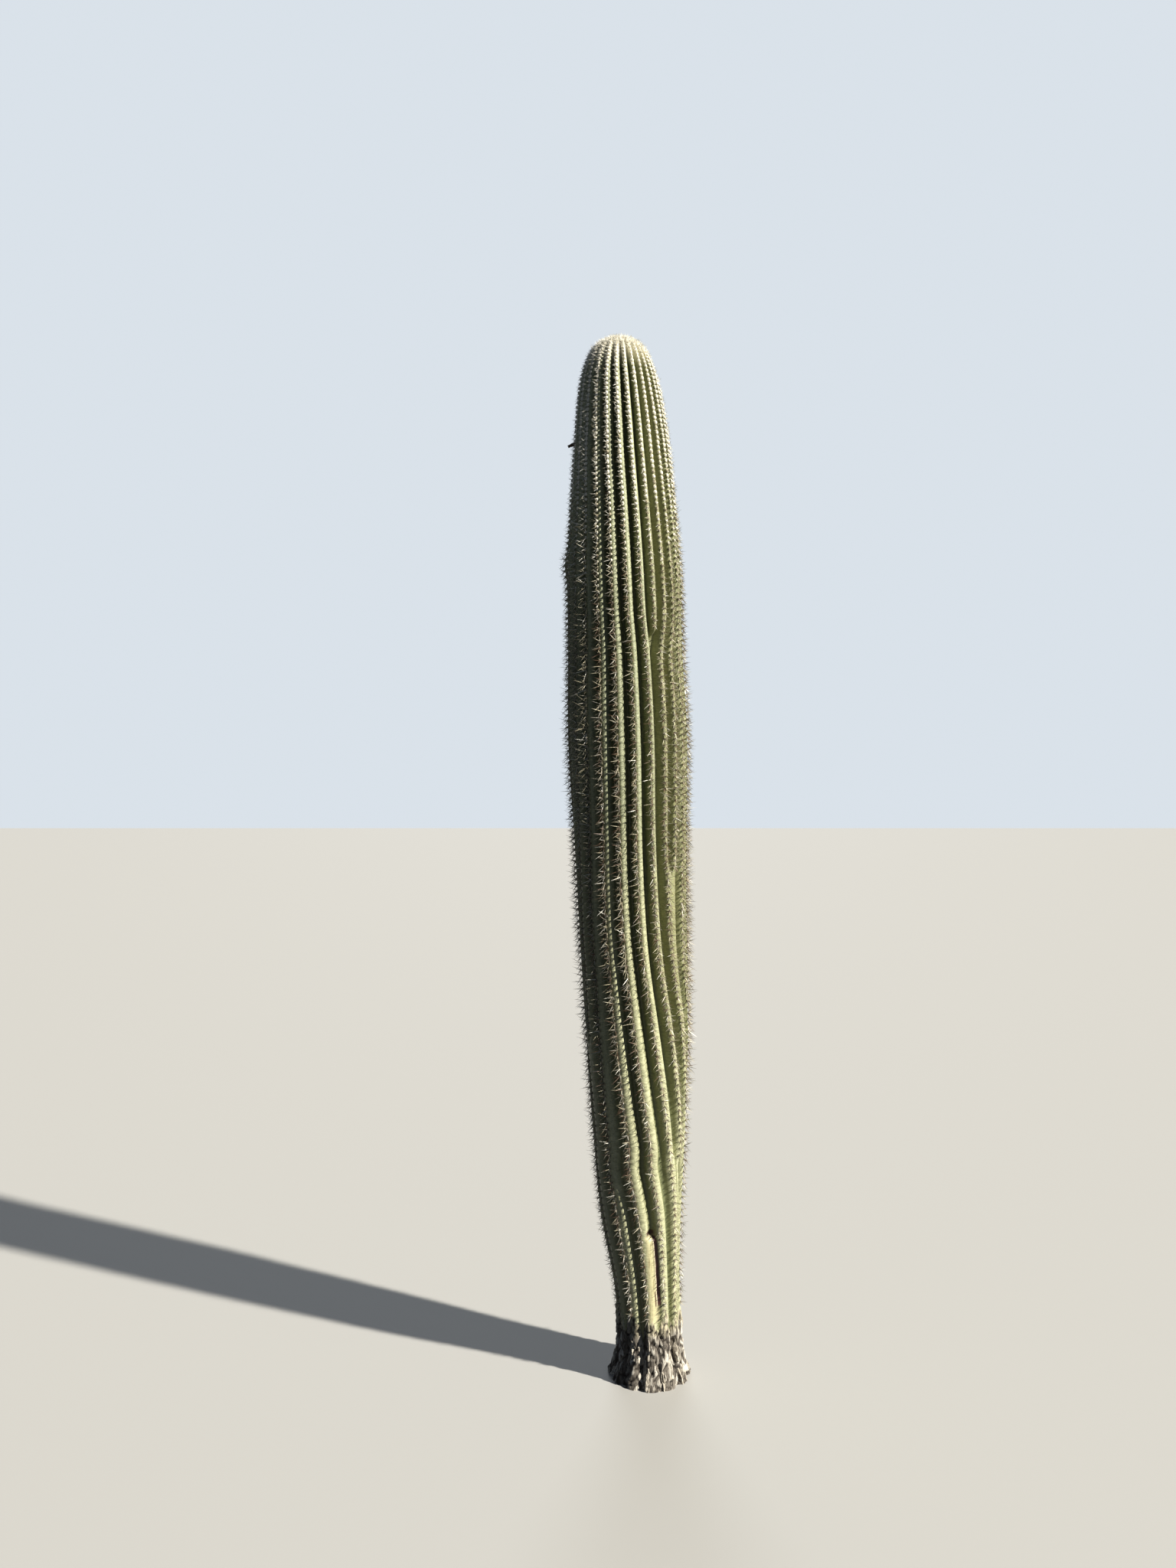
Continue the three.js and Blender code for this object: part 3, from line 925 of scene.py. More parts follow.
class NodeSheet:
    """A node tree that is being drawn."""

    def __init__(self, tree: bpy.types.NodeTree) -> None:
        """Starts on a tree."""
        self.tree = tree

    def fill(self, node: bpy.types.Node, inputs: dict) -> None:
        """Fills in a node's inputs.

        Args:
            node: The node.
            inputs: Value or output socket for each input's name or number.
        """
        for name, value in inputs.items():
            if isinstance(value, bpy.types.NodeSocket):
                self.tree.links.new(value, node.inputs[name])
            else:
                node.inputs[name].default_value = value

    def add(self, kind: str, inputs: dict | None = None, **settings: object) -> bpy.types.Node:
        """Adds a node.

        Args:
            kind: The node's type, without its ShaderNode prefix.
            inputs: Socket names or numbers, with a value or an output socket for each.
            settings: Values of the node's own settings.

        Returns:
            The new node.
        """
        node = self.tree.nodes.new("ShaderNode" + kind)
        for name, value in settings.items():
            setattr(node, name, value)
        self.fill(node, inputs or {})
        return node

    def mix(self, factor: object, first: object, second: object) -> bpy.types.NodeSocket:
        """Mixes two colours, each a socket or a colour, and returns the mixed one."""
        return self.add("Mix", {0: factor, 6: first, 7: second}, data_type="RGBA").outputs[2]

    def lay(self, colour: object, layers: tuple) -> bpy.types.NodeSocket:
        """Lays colours over one another.

        Args:
            colour: The lowest colour.
            layers: A mask, its share and a colour for each layer, from the lowest up.

        Returns:
            The colour on top.
        """
        for mask, share, layer in layers:
            colour = self.mix(self.math("MULTIPLY", mask, share), colour, layer)
        return colour

    def math(self, operation: str, first: object, second: object = 0.0,
             clamped: bool = False) -> bpy.types.NodeSocket:
        """Works out a number from two, each a socket or a number."""
        node = self.add("Math", {0: first, 1: second}, operation=operation, use_clamp=clamped)
        return node.outputs[0]

    def remap(self, value: object, low: float, high: float, start: float = 0.0,
              end: float = 1.0) -> bpy.types.NodeSocket:
        """Maps a number smoothly from one range to another."""
        inputs = {"Value": value, "From Min": low, "From Max": high, "To Min": start, "To Max": end}
        return self.add("MapRange", inputs, interpolation_type="SMOOTHSTEP").outputs["Result"]

    def both(self, first: object, second: object) -> bpy.types.NodeSocket:
        """A mask where two masks are."""
        return self.math("MULTIPLY", first, second)

    def attribute(self, name: str) -> bpy.types.NodeSocket:
        """Reads a number that the piece carries at its points."""
        return self.add("Attribute", attribute_name=name).outputs["Fac"]


def new_group(name: str, inputs: dict[str, str], outputs: dict[str, str]) -> tuple:
    """Starts a shader node group.

    Args:
        name: The group's name.
        inputs: Kind of socket for each input's name.
        outputs: The same for the outputs.

    Returns:
        The group, a sheet to draw on, its input node and its output node.
    """
    group = bpy.data.node_groups.new(name, "ShaderNodeTree")
    for in_out, sockets in (("INPUT", inputs), ("OUTPUT", outputs)):
        for socket, kind in sockets.items():
            group.interface.new_socket(name=socket, in_out=in_out, socket_type="NodeSocket" + kind)
    sheet = NodeSheet(group)
    return group, sheet, sheet.tree.nodes.new("NodeGroupInput"), sheet.tree.nodes.new("NodeGroupOutput")


def mottle_group() -> bpy.types.NodeTree:
    """Cloudy patches: a mask whose cells and contrast are inputs.

    Returns:
        The node group.
    """
    group, sheet, given, result = new_group(
        "mottle", {"Vector": "Vector", "Scale": "Float", "Contrast": "Float"}, {"Mask": "Float"})
    noise = sheet.add("TexNoise", {"Vector": given.outputs["Vector"], "Scale": given.outputs["Scale"],
                                   "Detail": 5.0, "Roughness": 0.6})
    centred = sheet.math("SUBTRACT", noise.outputs["Fac"], 0.5)
    spread = sheet.math("MULTIPLY", centred, given.outputs["Contrast"])
    sheet.fill(result, {"Mask": sheet.math("ADD", spread, 0.5, clamped=True)})
    return group


def streak_group() -> bpy.types.NodeTree:
    """Upright streaks or fissures: a mask from noise that is drawn out along the column.

    Returns:
        The node group.
    """
    group, sheet, given, result = new_group(
        "upright_streaks", {"Vector": "Vector", "Across": "Float", "Along": "Float"}, {"Mask": "Float"})
    scale = sheet.add("CombineXYZ", {"X": given.outputs["Across"], "Y": given.outputs["Across"],
                                     "Z": given.outputs["Along"]})
    drawn = sheet.add("VectorMath", {0: given.outputs["Vector"], 1: scale.outputs[0]},
                      operation="MULTIPLY")
    noise = sheet.add("TexNoise", {"Vector": drawn.outputs[0], "Scale": 1.0, "Detail": 6.0,
                                   "Roughness": 0.62, "Distortion": 0.35})
    sheet.fill(result, {"Mask": sheet.remap(noise.outputs["Fac"], 0.36, 0.62)})
    return group


def speck_group() -> bpy.types.NodeTree:
    """Scattered small specks: a mask of dots whose spacing and size are inputs.

    Returns:
        The node group.
    """
    group, sheet, given, result = new_group(
        "specks", {"Vector": "Vector", "Scale": "Float", "Size": "Float"}, {"Mask": "Float"})
    cells = sheet.add("TexVoronoi", {"Vector": given.outputs["Vector"], "Scale": given.outputs["Scale"],
                                     "Randomness": 1.0})
    near = sheet.math("SUBTRACT", given.outputs["Size"], cells.outputs["Distance"])
    sheet.fill(result, {"Mask": sheet.math("MULTIPLY", near, 9.0, clamped=True)})
    return group


@dataclass
class Effects:
    """The node groups that finishes share."""

    mottle: bpy.types.NodeTree
    streaks: bpy.types.NodeTree
    specks: bpy.types.NodeTree

    @classmethod
    def build(cls) -> "Effects":
        """Builds each group once."""
        return cls(mottle_group(), streak_group(), speck_group())


class Finish(NodeSheet):
    """A material that is being drawn, with its Principled shader."""

    def __init__(self, name: str) -> None:
        """Starts a material.

        Args:
            name: The material's name.
        """
        self.material = bpy.data.materials.new(name)
        self.material.use_nodes = True
        super().__init__(self.material.node_tree)
        self.shader = self.tree.nodes["Principled BSDF"]

    def place(self, group: bpy.types.NodeTree, where: bpy.types.NodeSocket,
              **values: float) -> bpy.types.NodeSocket:
        """Places a shared effect with values of its own.

        Args:
            group: The effect's node group.
            where: Coordinates that it reads.
            values: Value for each of its other inputs.

        Returns:
            The effect's mask.
        """
        node = self.tree.nodes.new("ShaderNodeGroup")
        node.node_tree = group
        self.fill(node, {"Vector": where, **values})
        return node.outputs["Mask"]

    def bump(self, height: bpy.types.NodeSocket, strength: float, distance: float) -> None:
        """Bumps the surface by a mask."""
        node = self.add("Bump", {"Height": height, "Strength": strength, "Distance": distance})
        self.fill(self.shader, {"Normal": node.outputs["Normal"]})


Colour = tuple[float, float, float, float]


@dataclass(frozen=True)
class FleshColours:
    """Colours of the skin, its wound and the cork at its foot."""

    young: Colour = (0.190, 0.207, 0.088, 1)
    old: Colour = (0.265, 0.272, 0.122, 1)
    patch: Colour = (0.225, 0.238, 0.128, 1)
    # Pale strips beside the crests, by height: partly bleached skin, partly painted light on the side that
    # the key light strikes
    crest: Colour = (0.440, 0.462, 0.295, 1)
    crest_middle: Colour = (0.375, 0.398, 0.255, 1)
    crest_old: Colour = (0.545, 0.548, 0.345, 1)
    # Painted light and shade on the side facing the key light: lighter flanks and grooves, and darker
    # crests that stand in for the spines' shadows
    sunny: Colour = (0.325, 0.332, 0.160, 1)
    crest_sun_side_painted_shade: Colour = (0.290, 0.282, 0.155, 1)
    # Painted shade: the skin on the side away from the key light
    painted_shade: Colour = (0.088, 0.106, 0.062, 1)
    # Painted shade: grooves darker still on the side away from the key light
    groove_painted_shade: Colour = (0.085, 0.096, 0.048, 1)
    # Darker towards the groove bottoms: partly greener tissue, partly painted shade
    groove: Colour = (0.150, 0.170, 0.085, 1)
    woolly: Colour = (0.780, 0.745, 0.590, 1)
    blemish: Colour = (0.110, 0.115, 0.055, 1)
    pore: Colour = (0.430, 0.445, 0.270, 1)
    callus: Colour = (0.530, 0.490, 0.285, 1)
    callus_line: Colour = (0.260, 0.205, 0.095, 1)
    slit: Colour = (0.080, 0.030, 0.021, 1)
    slit_dark: Colour = (0.026, 0.011, 0.010, 1)
    slit_rim: Colour = (0.760, 0.680, 0.500, 1)
    cork: Colour = (0.150, 0.132, 0.110, 1)
    cork_pale: Colour = (0.640, 0.600, 0.520, 1)
    cork_dark: Colour = (0.030, 0.024, 0.019, 1)
    cork_strip: Colour = (0.500, 0.450, 0.310, 1)


@dataclass(frozen=True)
class FleshFinish:
    """Waxy green skin that turns yellow on old crests, with callus and a dark slit at the wound and cork
    at the foot, and with painted light and shade laid into its colour by which way it faces the key
    light. The mesh carries what lies where, as numbers at its points."""

    colours: FleshColours = FleshColours()
    # Heights over which the skin changes: to old skin, middle and old crests, wider pale strips that are
    # partly painted light, the painted light and shade of the side facing the key light, the painted shade
    # of the side away from it, wool, and bare strips of cork
    old_heights: tuple = (2.6, 0.6)
    crest_middle_heights: tuple = (3.05, 2.7)
    crest_old_heights: tuple = (2.3, 1.8)
    crest_wide_heights: tuple = (1.6, 0.9, 0.0, 0.55)
    painted_sun_side_heights: tuple = (1.25, 1.65)
    painted_shade_heights: tuple = (3.5, 2.7)
    woolly_heights: tuple = (3.86, 3.965)
    strip_heights: tuple = (0.175, 0.235)
    # How squarely places face the key light where painted light and shade are laid on the skin
    painted_sun_side_sunward: tuple = (0.62, 0.88)
    groove_painted_shade_sunward: tuple = (0.75, 0.40)
    painted_shade_sunward: tuple = (-0.10, -0.45)
    # Where on a rib it is darker towards the groove, partly greener tissue and partly painted shade, and
    # where one side of the crest is pale, partly bleached and partly painted light
    groove_from: tuple = (0.50, 0.97)
    bleach_and_painted_light_side: tuple = (-0.10, 0.12)
    bleach_and_painted_light_until: tuple = (0.80, 0.50)
    # The wound: millimetres right of its groove to each band's middle, half the band's width, and the
    # heights that it lies between
    callus_band: tuple = (-13.0, 21.0, 0.25, 0.596)
    rim_band: tuple = (-0.5, 1.6, 0.315, 0.592)
    crack_band: tuple = (-4.2, 0.9, 0.40, 0.590)
    second_band: tuple = (-6.5, 2.4, 0.312, 0.372)
    slit_band: tuple = (7.2, 7.0, 0.315, 0.592)
    pit_band: tuple = (-7.0, 19.0, 0.5945, 0.613)
    band_edge: tuple = (1.25, 0.7)
    band_foot: float = 0.008
    band_top: float = 0.004
    # Cells per metre of fissures in the bark, across and along the column
    splits_across: float = 120.0
    splits_along: float = 16.0
    # Roughness of the skin and of the bark, and how much their fine mottle adds
    roughness: tuple = (0.48, 0.90, 0.10)
    bump: tuple = (0.55, 0.003)
    specular: float = 0.40

    def _skin(self, finish: Finish, effects: Effects, where: bpy.types.NodeSocket,
              height: bpy.types.NodeSocket, fine: bpy.types.NodeSocket) -> bpy.types.NodeSocket:
        """Colour of the skin: yellower with age and on crests, with a pale strip beside each crest that is
        partly painted light, greener and darker in grooves with partly painted shade, painted light and
        shade by which way it faces the key light, and woolly at the tip.

        Args:
            finish: The material.
            effects: The shared node groups.
            where: Object coordinates.
            height: Heights.
            fine: A fine mottle.

        Returns:
            The colour.
        """
        paint = self.colours
        groove, sunward = finish.attribute("groove"), finish.attribute("sunward")
        patches = finish.place(effects.mottle, where, Scale=7.0, Contrast=2.4)
        blots = finish.place(effects.mottle, where, Scale=38.0, Contrast=5.0)
        pores = finish.place(effects.specks, where, Scale=420.0, Size=0.22)
        rings = finish.place(effects.streaks, where, Across=60.0, Along=260.0)
        # Painted shade: the groove's colour darkens on the side turned from the key light
        hollow = finish.mix(finish.remap(sunward, *self.groove_painted_shade_sunward), paint.groove,
                            paint.groove_painted_shade)
        # Painted light and shade by facing the key light: lighter flanks and grooves, darker crests
        painted_sun_side = finish.both(finish.remap(sunward, *self.painted_sun_side_sunward),
                             finish.remap(height, *self.painted_sun_side_heights))
        crest = finish.mix(finish.remap(height, *self.crest_middle_heights), paint.crest,
                           paint.crest_middle)
        crest = finish.mix(finish.remap(height, *self.crest_old_heights), crest, paint.crest_old)
        crest = finish.mix(painted_sun_side, crest, paint.crest_sun_side_painted_shade)
        # Pale strip on one side of the crest: partly bleaching, partly painted light
        side = finish.math("ADD", finish.attribute("side"),
                           finish.remap(height, *self.crest_wide_heights))
        bleach_and_painted_light = finish.both(finish.remap(side, *self.bleach_and_painted_light_side),
                               finish.remap(groove, *self.bleach_and_painted_light_until))
        # Painted shade: darker skin on the side away from the key light, below the top
        painted_shade_side = finish.both(finish.remap(sunward, *self.painted_shade_sunward),
                           finish.remap(height, *self.painted_shade_heights))
        skin = finish.mix(finish.remap(height, *self.old_heights), paint.young, paint.old)
        skin = finish.lay(skin, (
            (patches, 0.50, paint.patch),
            # Darker and greener towards the groove: partly real, partly painted shade
            (finish.remap(groove, *self.groove_from), 0.85, hollow),
            (painted_sun_side, 0.80, paint.sunny),
            (bleach_and_painted_light, 0.92, crest),
            (painted_shade_side, 0.85, paint.painted_shade),
            (blots, 0.25, paint.blemish),
            (finish.remap(rings, 0.42, 0.05), 0.50, paint.blemish),
            (fine, 0.26, paint.blemish),
            (pores, 0.20, paint.pore),
        ))
        return finish.lay(skin, ((finish.remap(height, *self.woolly_heights), 0.95, paint.woolly),))

    def _band(self, finish: Finish, beside: bpy.types.NodeSocket, height: bpy.types.NodeSocket,
              middle: float, half_width: float, low: float, high: float) -> bpy.types.NodeSocket:
        """Masks one upright band of the wound, that falls off at its edges.

        Args:
            finish: The material.
            beside: Millimetres right of the wound's groove.
            height: Heights.
            middle: Where the band's middle is, in millimetres.
            half_width: Half its width, in millimetres.
            low: Its lower end.
            high: Its upper end.

        Returns:
            The mask.
        """
        off = finish.math("ABSOLUTE", finish.math("SUBTRACT", beside, middle))
        wide, narrow = (half_width * share for share in self.band_edge)
        above = finish.remap(height, low - self.band_foot, low + self.band_foot)
        below = finish.remap(height, high + self.band_top, high - self.band_top)
        return finish.both(finish.remap(off, wide, narrow), finish.both(above, below))

    def _wound(self, finish: Finish, effects: Effects, skin: bpy.types.NodeSocket,
               where: bpy.types.NodeSocket, height: bpy.types.NodeSocket) -> bpy.types.NodeSocket:
        """Lays callus with fine upright lines over the skin, and the slit with its pale rim over that.

        Args:
            finish: The material.
            effects: The shared node groups.
            skin: The skin's colour.
            where: Object coordinates.
            height: Heights.

        Returns:
            The colour with the wound.
        """
        paint = self.colours
        beside = finish.attribute("wound")
        lines = finish.place(effects.streaks, where, Across=340.0, Along=9.0)
        fibres = finish.place(effects.streaks, where, Across=420.0, Along=40.0)
        healed = finish.mix(finish.remap(lines, 0.45, 0.1, 0.0, 0.70), paint.callus, paint.callus_line)
        inside = finish.mix(fibres, paint.slit_dark, paint.slit)
        bands = (
            (self.callus_band, 0.85, healed),
            (self.rim_band, 0.90, paint.slit_rim),
            (self.crack_band, 0.75, inside),
            (self.second_band, 0.95, inside),
            (self.slit_band, 1.00, inside),
            (self.pit_band, 0.95, inside),
        )
        return finish.lay(skin, tuple(
            (self._band(finish, beside, height, *band), share, colour) for band, share, colour in bands))

    def _cork(self, finish: Finish, height: bpy.types.NodeSocket, fine: bpy.types.NodeSocket,
              splits: bpy.types.NodeSocket) -> bpy.types.NodeSocket:
        """Colour of the bark: pale and grey plates between dark cracks.

        Args:
            finish: The material.
            height: Heights.
            fine: A fine mottle.
            splits: Fissures in the bark.

        Returns:
            The colour.
        """
        paint = self.colours
        crack = finish.attribute("crack")
        ridge = finish.both(finish.attribute("plate"), finish.remap(crack, 0.75, 0.05))
        cork = finish.mix(finish.remap(ridge, 0.15, 0.60), paint.cork, paint.cork_pale)
        return finish.lay(cork, (
            (fine, 0.35, paint.cork),
            (finish.remap(height, *self.strip_heights), 0.90, paint.cork_strip),
            (finish.remap(splits, 0.42, 0.0), 0.85, paint.cork_dark),
            (finish.remap(crack, 0.72, 1.0), 1.0, paint.cork_dark),
        ))

    def build(self, effects: Effects) -> bpy.types.Material:
        """Draws the material.

        Args:
            effects: The shared node groups.

        Returns:
            The finished material.
        """
        finish = Finish("ribbed_flesh")
        where = finish.add("TexCoord").outputs["Object"]
        height = finish.add("SeparateXYZ", {"Vector": where}).outputs["Z"]
        bark = finish.attribute("bark")
        fine = finish.place(effects.mottle, where, Scale=120.0, Contrast=2.0)
        splits = finish.place(effects.streaks, where, Across=self.splits_across, Along=self.splits_along)
        wrinkles = finish.place(effects.streaks, where, Across=34.0, Along=190.0)
        skin = self._skin(finish, effects, where, height, fine)
        skin = self._wound(finish, effects, skin, where, height)
        colour = finish.mix(bark, skin, self._cork(finish, height, fine, splits))
        smooth, rough, mottled = self.roughness
        grain = finish.add("Mix", {0: bark, 2: smooth, 3: rough}, data_type="FLOAT").outputs[0]
        on_skin = finish.both(wrinkles, finish.math("SUBTRACT", 1.0, bark))
        lift = finish.math("ADD", finish.both(on_skin, 0.25), finish.both(splits, bark))
        finish.bump(finish.math("ADD", lift, finish.both(fine, 0.12)), *self.bump)
        finish.fill(finish.shader, {
            "Base Color": colour,
            "Roughness": finish.math("ADD", grain, finish.both(fine, mottled)),
            "Specular IOR Level": self.specular,
        })
        return finish.material


@dataclass(frozen=True)
class CorkFinish:
    """Dry grey-tan cork with upright fissures, for the loose plates of the foot."""

    pale: Colour = (0.600, 0.555, 0.470, 1)
    tan: Colour = (0.300, 0.262, 0.205, 1)
    dark: Colour = (0.030, 0.023, 0.018, 1)

    def build(self, effects: Effects) -> bpy.types.Material:
        """Draws the material.

        Args:
            effects: The shared node groups.

        Returns:
            The finished material.
        """
        finish = Finish("cork_plates")
        where = finish.add("TexCoord").outputs["Object"]
        patches = finish.place(effects.mottle, where, Scale=30.0, Contrast=2.6)
        fissures = finish.place(effects.streaks, where, Across=110.0, Along=18.0)
        colour = finish.mix(patches, self.tan, self.pale)
        colour = finish.lay(colour, ((finish.remap(fissures, 0.5, 0.0), 0.9, self.dark),))
        finish.fill(finish.shader, {"Base Color": colour, "Roughness": 0.9})
        finish.bump(fissures, 0.7, 0.002)
        return finish.material


@dataclass(frozen=True)
class PlainFinish:
    """One plain colour out of several that are dealt out over fine things."""

    name: str
    colour: Colour
    roughness: float
    sheen: float = 0.0

    def build(self) -> bpy.types.Material:
        """Draws the material.

        Returns:
            The finished material.
        """
        finish = Finish(self.name)
        finish.fill(finish.shader, {"Base Color": self.colour, "Roughness": self.roughness,
                                    "Sheen Weight": self.sheen})
        return finish.material


@dataclass(frozen=True)
class FruitFinish:
    """The shrivelled, nearly black skin of the dried fruit."""

    dark: Colour = (0.016, 0.011, 0.009, 1)
    brown: Colour = (0.060, 0.034, 0.022, 1)

    def build(self, effects: Effects) -> bpy.types.Material:
        """Draws the material.

        Args:
            effects: The shared node groups.

        Returns:
            The finished material.
        """
        finish = Finish("dried_fruit_skin")
        where = finish.add("TexCoord").outputs["Object"]
        patches = finish.place(effects.mottle, where, Scale=260.0, Contrast=3.0)
        finish.fill(finish.shader, {"Base Color": finish.mix(patches, self.dark, self.brown),
                                    "Roughness": 0.72})
        finish.bump(patches, 0.6, 0.001)
        return finish.material


class SpineTone(Enum):
    """Colours that spines are dealt, by age."""

    WHITE = PlainFinish("spine_white", (0.860, 0.835, 0.740, 1), 0.42)
    STRAW = PlainFinish("spine_straw", (0.460, 0.415, 0.290, 1), 0.46)
    GREY = PlainFinish("spine_grey", (0.270, 0.250, 0.205, 1), 0.52)
    BROWN = PlainFinish("spine_brown", (0.125, 0.073, 0.045, 1), 0.52)


class FeltTone(Enum):
    """Colours of the felt pads, by age."""

    CREAM = PlainFinish("felt_cream", (0.830, 0.790, 0.660, 1), 0.95, 0.3)
    TAN = PlainFinish("felt_tan", (0.360, 0.320, 0.220, 1), 0.95, 0.2)
    GREY = PlainFinish("felt_grey", (0.130, 0.110, 0.075, 1), 0.95, 0.1)


@dataclass
class Flesh:
    """The column's skin, as two closed halves that meet in two grooves."""

    column: Column
    # Length along the outline from which each spacing of rings holds
    ring_steps: tuple = ((0.0, 0.0040), (0.42, 0.0076), (3.80, 0.0050))
    across: tuple = (-1, -0.87, -0.74, -0.60, -0.45, -0.26, 0, 0.26, 0.45, 0.60, 0.74, 0.87)

    def _ring_places(self) -> np.ndarray:
        """Places of the rings along the outline.

        Returns:
            One place for each ring.
        """
        starts = [start for start, _ in self.ring_steps] + [self.column.length]
        stretches = [
            np.linspace(low, high, math.ceil((high - low) / step), endpoint=False)
            for (low, step), high in zip(self.ring_steps, starts[1:])
        ]
        return np.append(np.concatenate(stretches), self.column.length)

    def _half(self, name: str, first_rib: int, rib_count: int,
              material: bpy.types.Material) -> bpy.types.Object:
        """Builds one half.

        Args:
            name: The piece's name.
            first_rib: Number of its first rib.
            rib_count: How many ribs it has.
            material: Its finish.

        Returns:
            The closed half, with what lies where at its points.
        """
        column = self.column
        rings = self._ring_places()
        ribs = np.repeat(np.arange(first_rib, first_rib + rib_count), len(self.across))
        across = np.tile(np.array(self.across, float), rib_count)
        ribs = np.append(ribs, (first_rib + rib_count) % column.rib_count)
        across = np.append(across, -1.0)
        columns = len(ribs)
        place = np.repeat(rings, columns)
        rib = np.tile(ribs, len(rings))
        side = np.tile(across, len(rings))
        skin = column.points(place, rib, side)
        height, _, lean = column.curve.at(rings).T
        axis = np.stack([lean, np.zeros_like(lean), height], axis=1)
        vertices = np.concatenate([skin, axis])

        corner = (np.arange(len(rings) - 1)[:, None] * columns + np.arange(columns - 1)).ravel()
        quads = np.stack([corner, corner + 1, corner + 1 + columns, corner + columns], axis=1)
        hub = len(skin) + np.arange(len(rings))
        start = np.arange(len(rings)) * columns
        end = start + columns - 1
        left_wall = np.stack([hub[:-1], start[:-1], start[1:], hub[1:]], axis=1)
        right_wall = np.stack([end[:-1], hub[:-1], hub[1:], end[1:]], axis=1)
        rim = np.arange(columns - 1)
        foot = np.stack([np.full(len(rim), hub[0]), rim + 1, rim], axis=1)
        tip = np.stack([np.full(len(rim), hub[-1]), start[-1] + rim, start[-1] + rim + 1], axis=1)
        faces = [quads, left_wall, right_wall, foot, tip]
        piece = make_piece(name, vertices, faces, [material])
        self._mark_sharp(piece, len(skin), columns)
        self._write_masks(piece, place, rib, side)
        return piece

    def _mark_sharp(self, piece: bpy.types.Object, skin_count: int, columns: int) -> None:
        """Keeps the inner walls and the ends from bending the skin's shading.

        Args:
            piece: The half.
            skin_count: How many points are on the skin.
            columns: Points in each ring.
        """
        mesh = piece.data
        ends = np.zeros(len(mesh.edges) * 2, np.int32)
        mesh.edges.foreach_get("vertices", ends)
        ends = ends.reshape(-1, 2)
        on_skin = (ends < skin_count).all(axis=1)
        column, ring = ends % columns, ends // columns
        in_groove = ((column == 0).all(axis=1) | (column == columns - 1).all(axis=1)) & on_skin
        last = skin_count // columns - 1
        at_end = ((ring == 0).all(axis=1) | (ring == last).all(axis=1)) & on_skin
        mesh.edges.foreach_set("use_edge_sharp", in_groove | at_end | ~on_skin)

    def _write_masks(self, piece: bpy.types.Object, place: np.ndarray, rib: np.ndarray,
                     across: np.ndarray) -> None:
        """Writes what lies where at the skin's points, and 0 at the points inside.

        Args:
            piece: The half.
            place: Places along the outline.
            rib: Rib numbers.
            across: Places across the rib.
        """
        inner = len(piece.data.vertices) - len(place)
        for name, values in self.column.masks(place, rib, across).items():
            attribute = piece.data.attributes.new(name, "FLOAT", "POINT")
            padded = np.concatenate([values, np.zeros(inner)])
            attribute.data.foreach_set("value", padded.astype(np.float32))

    def build(self, effects: Effects) -> None:
        """Builds and dresses both halves.

        Args:
            effects: The shared node groups.
        """
        material = FleshFinish().build(effects)
        half = self.column.rib_count // 2
        dress(self._half("flesh_front", 0, half, material), "skin", "stem")
        dress(self._half("flesh_back", half, half, material), "skin")


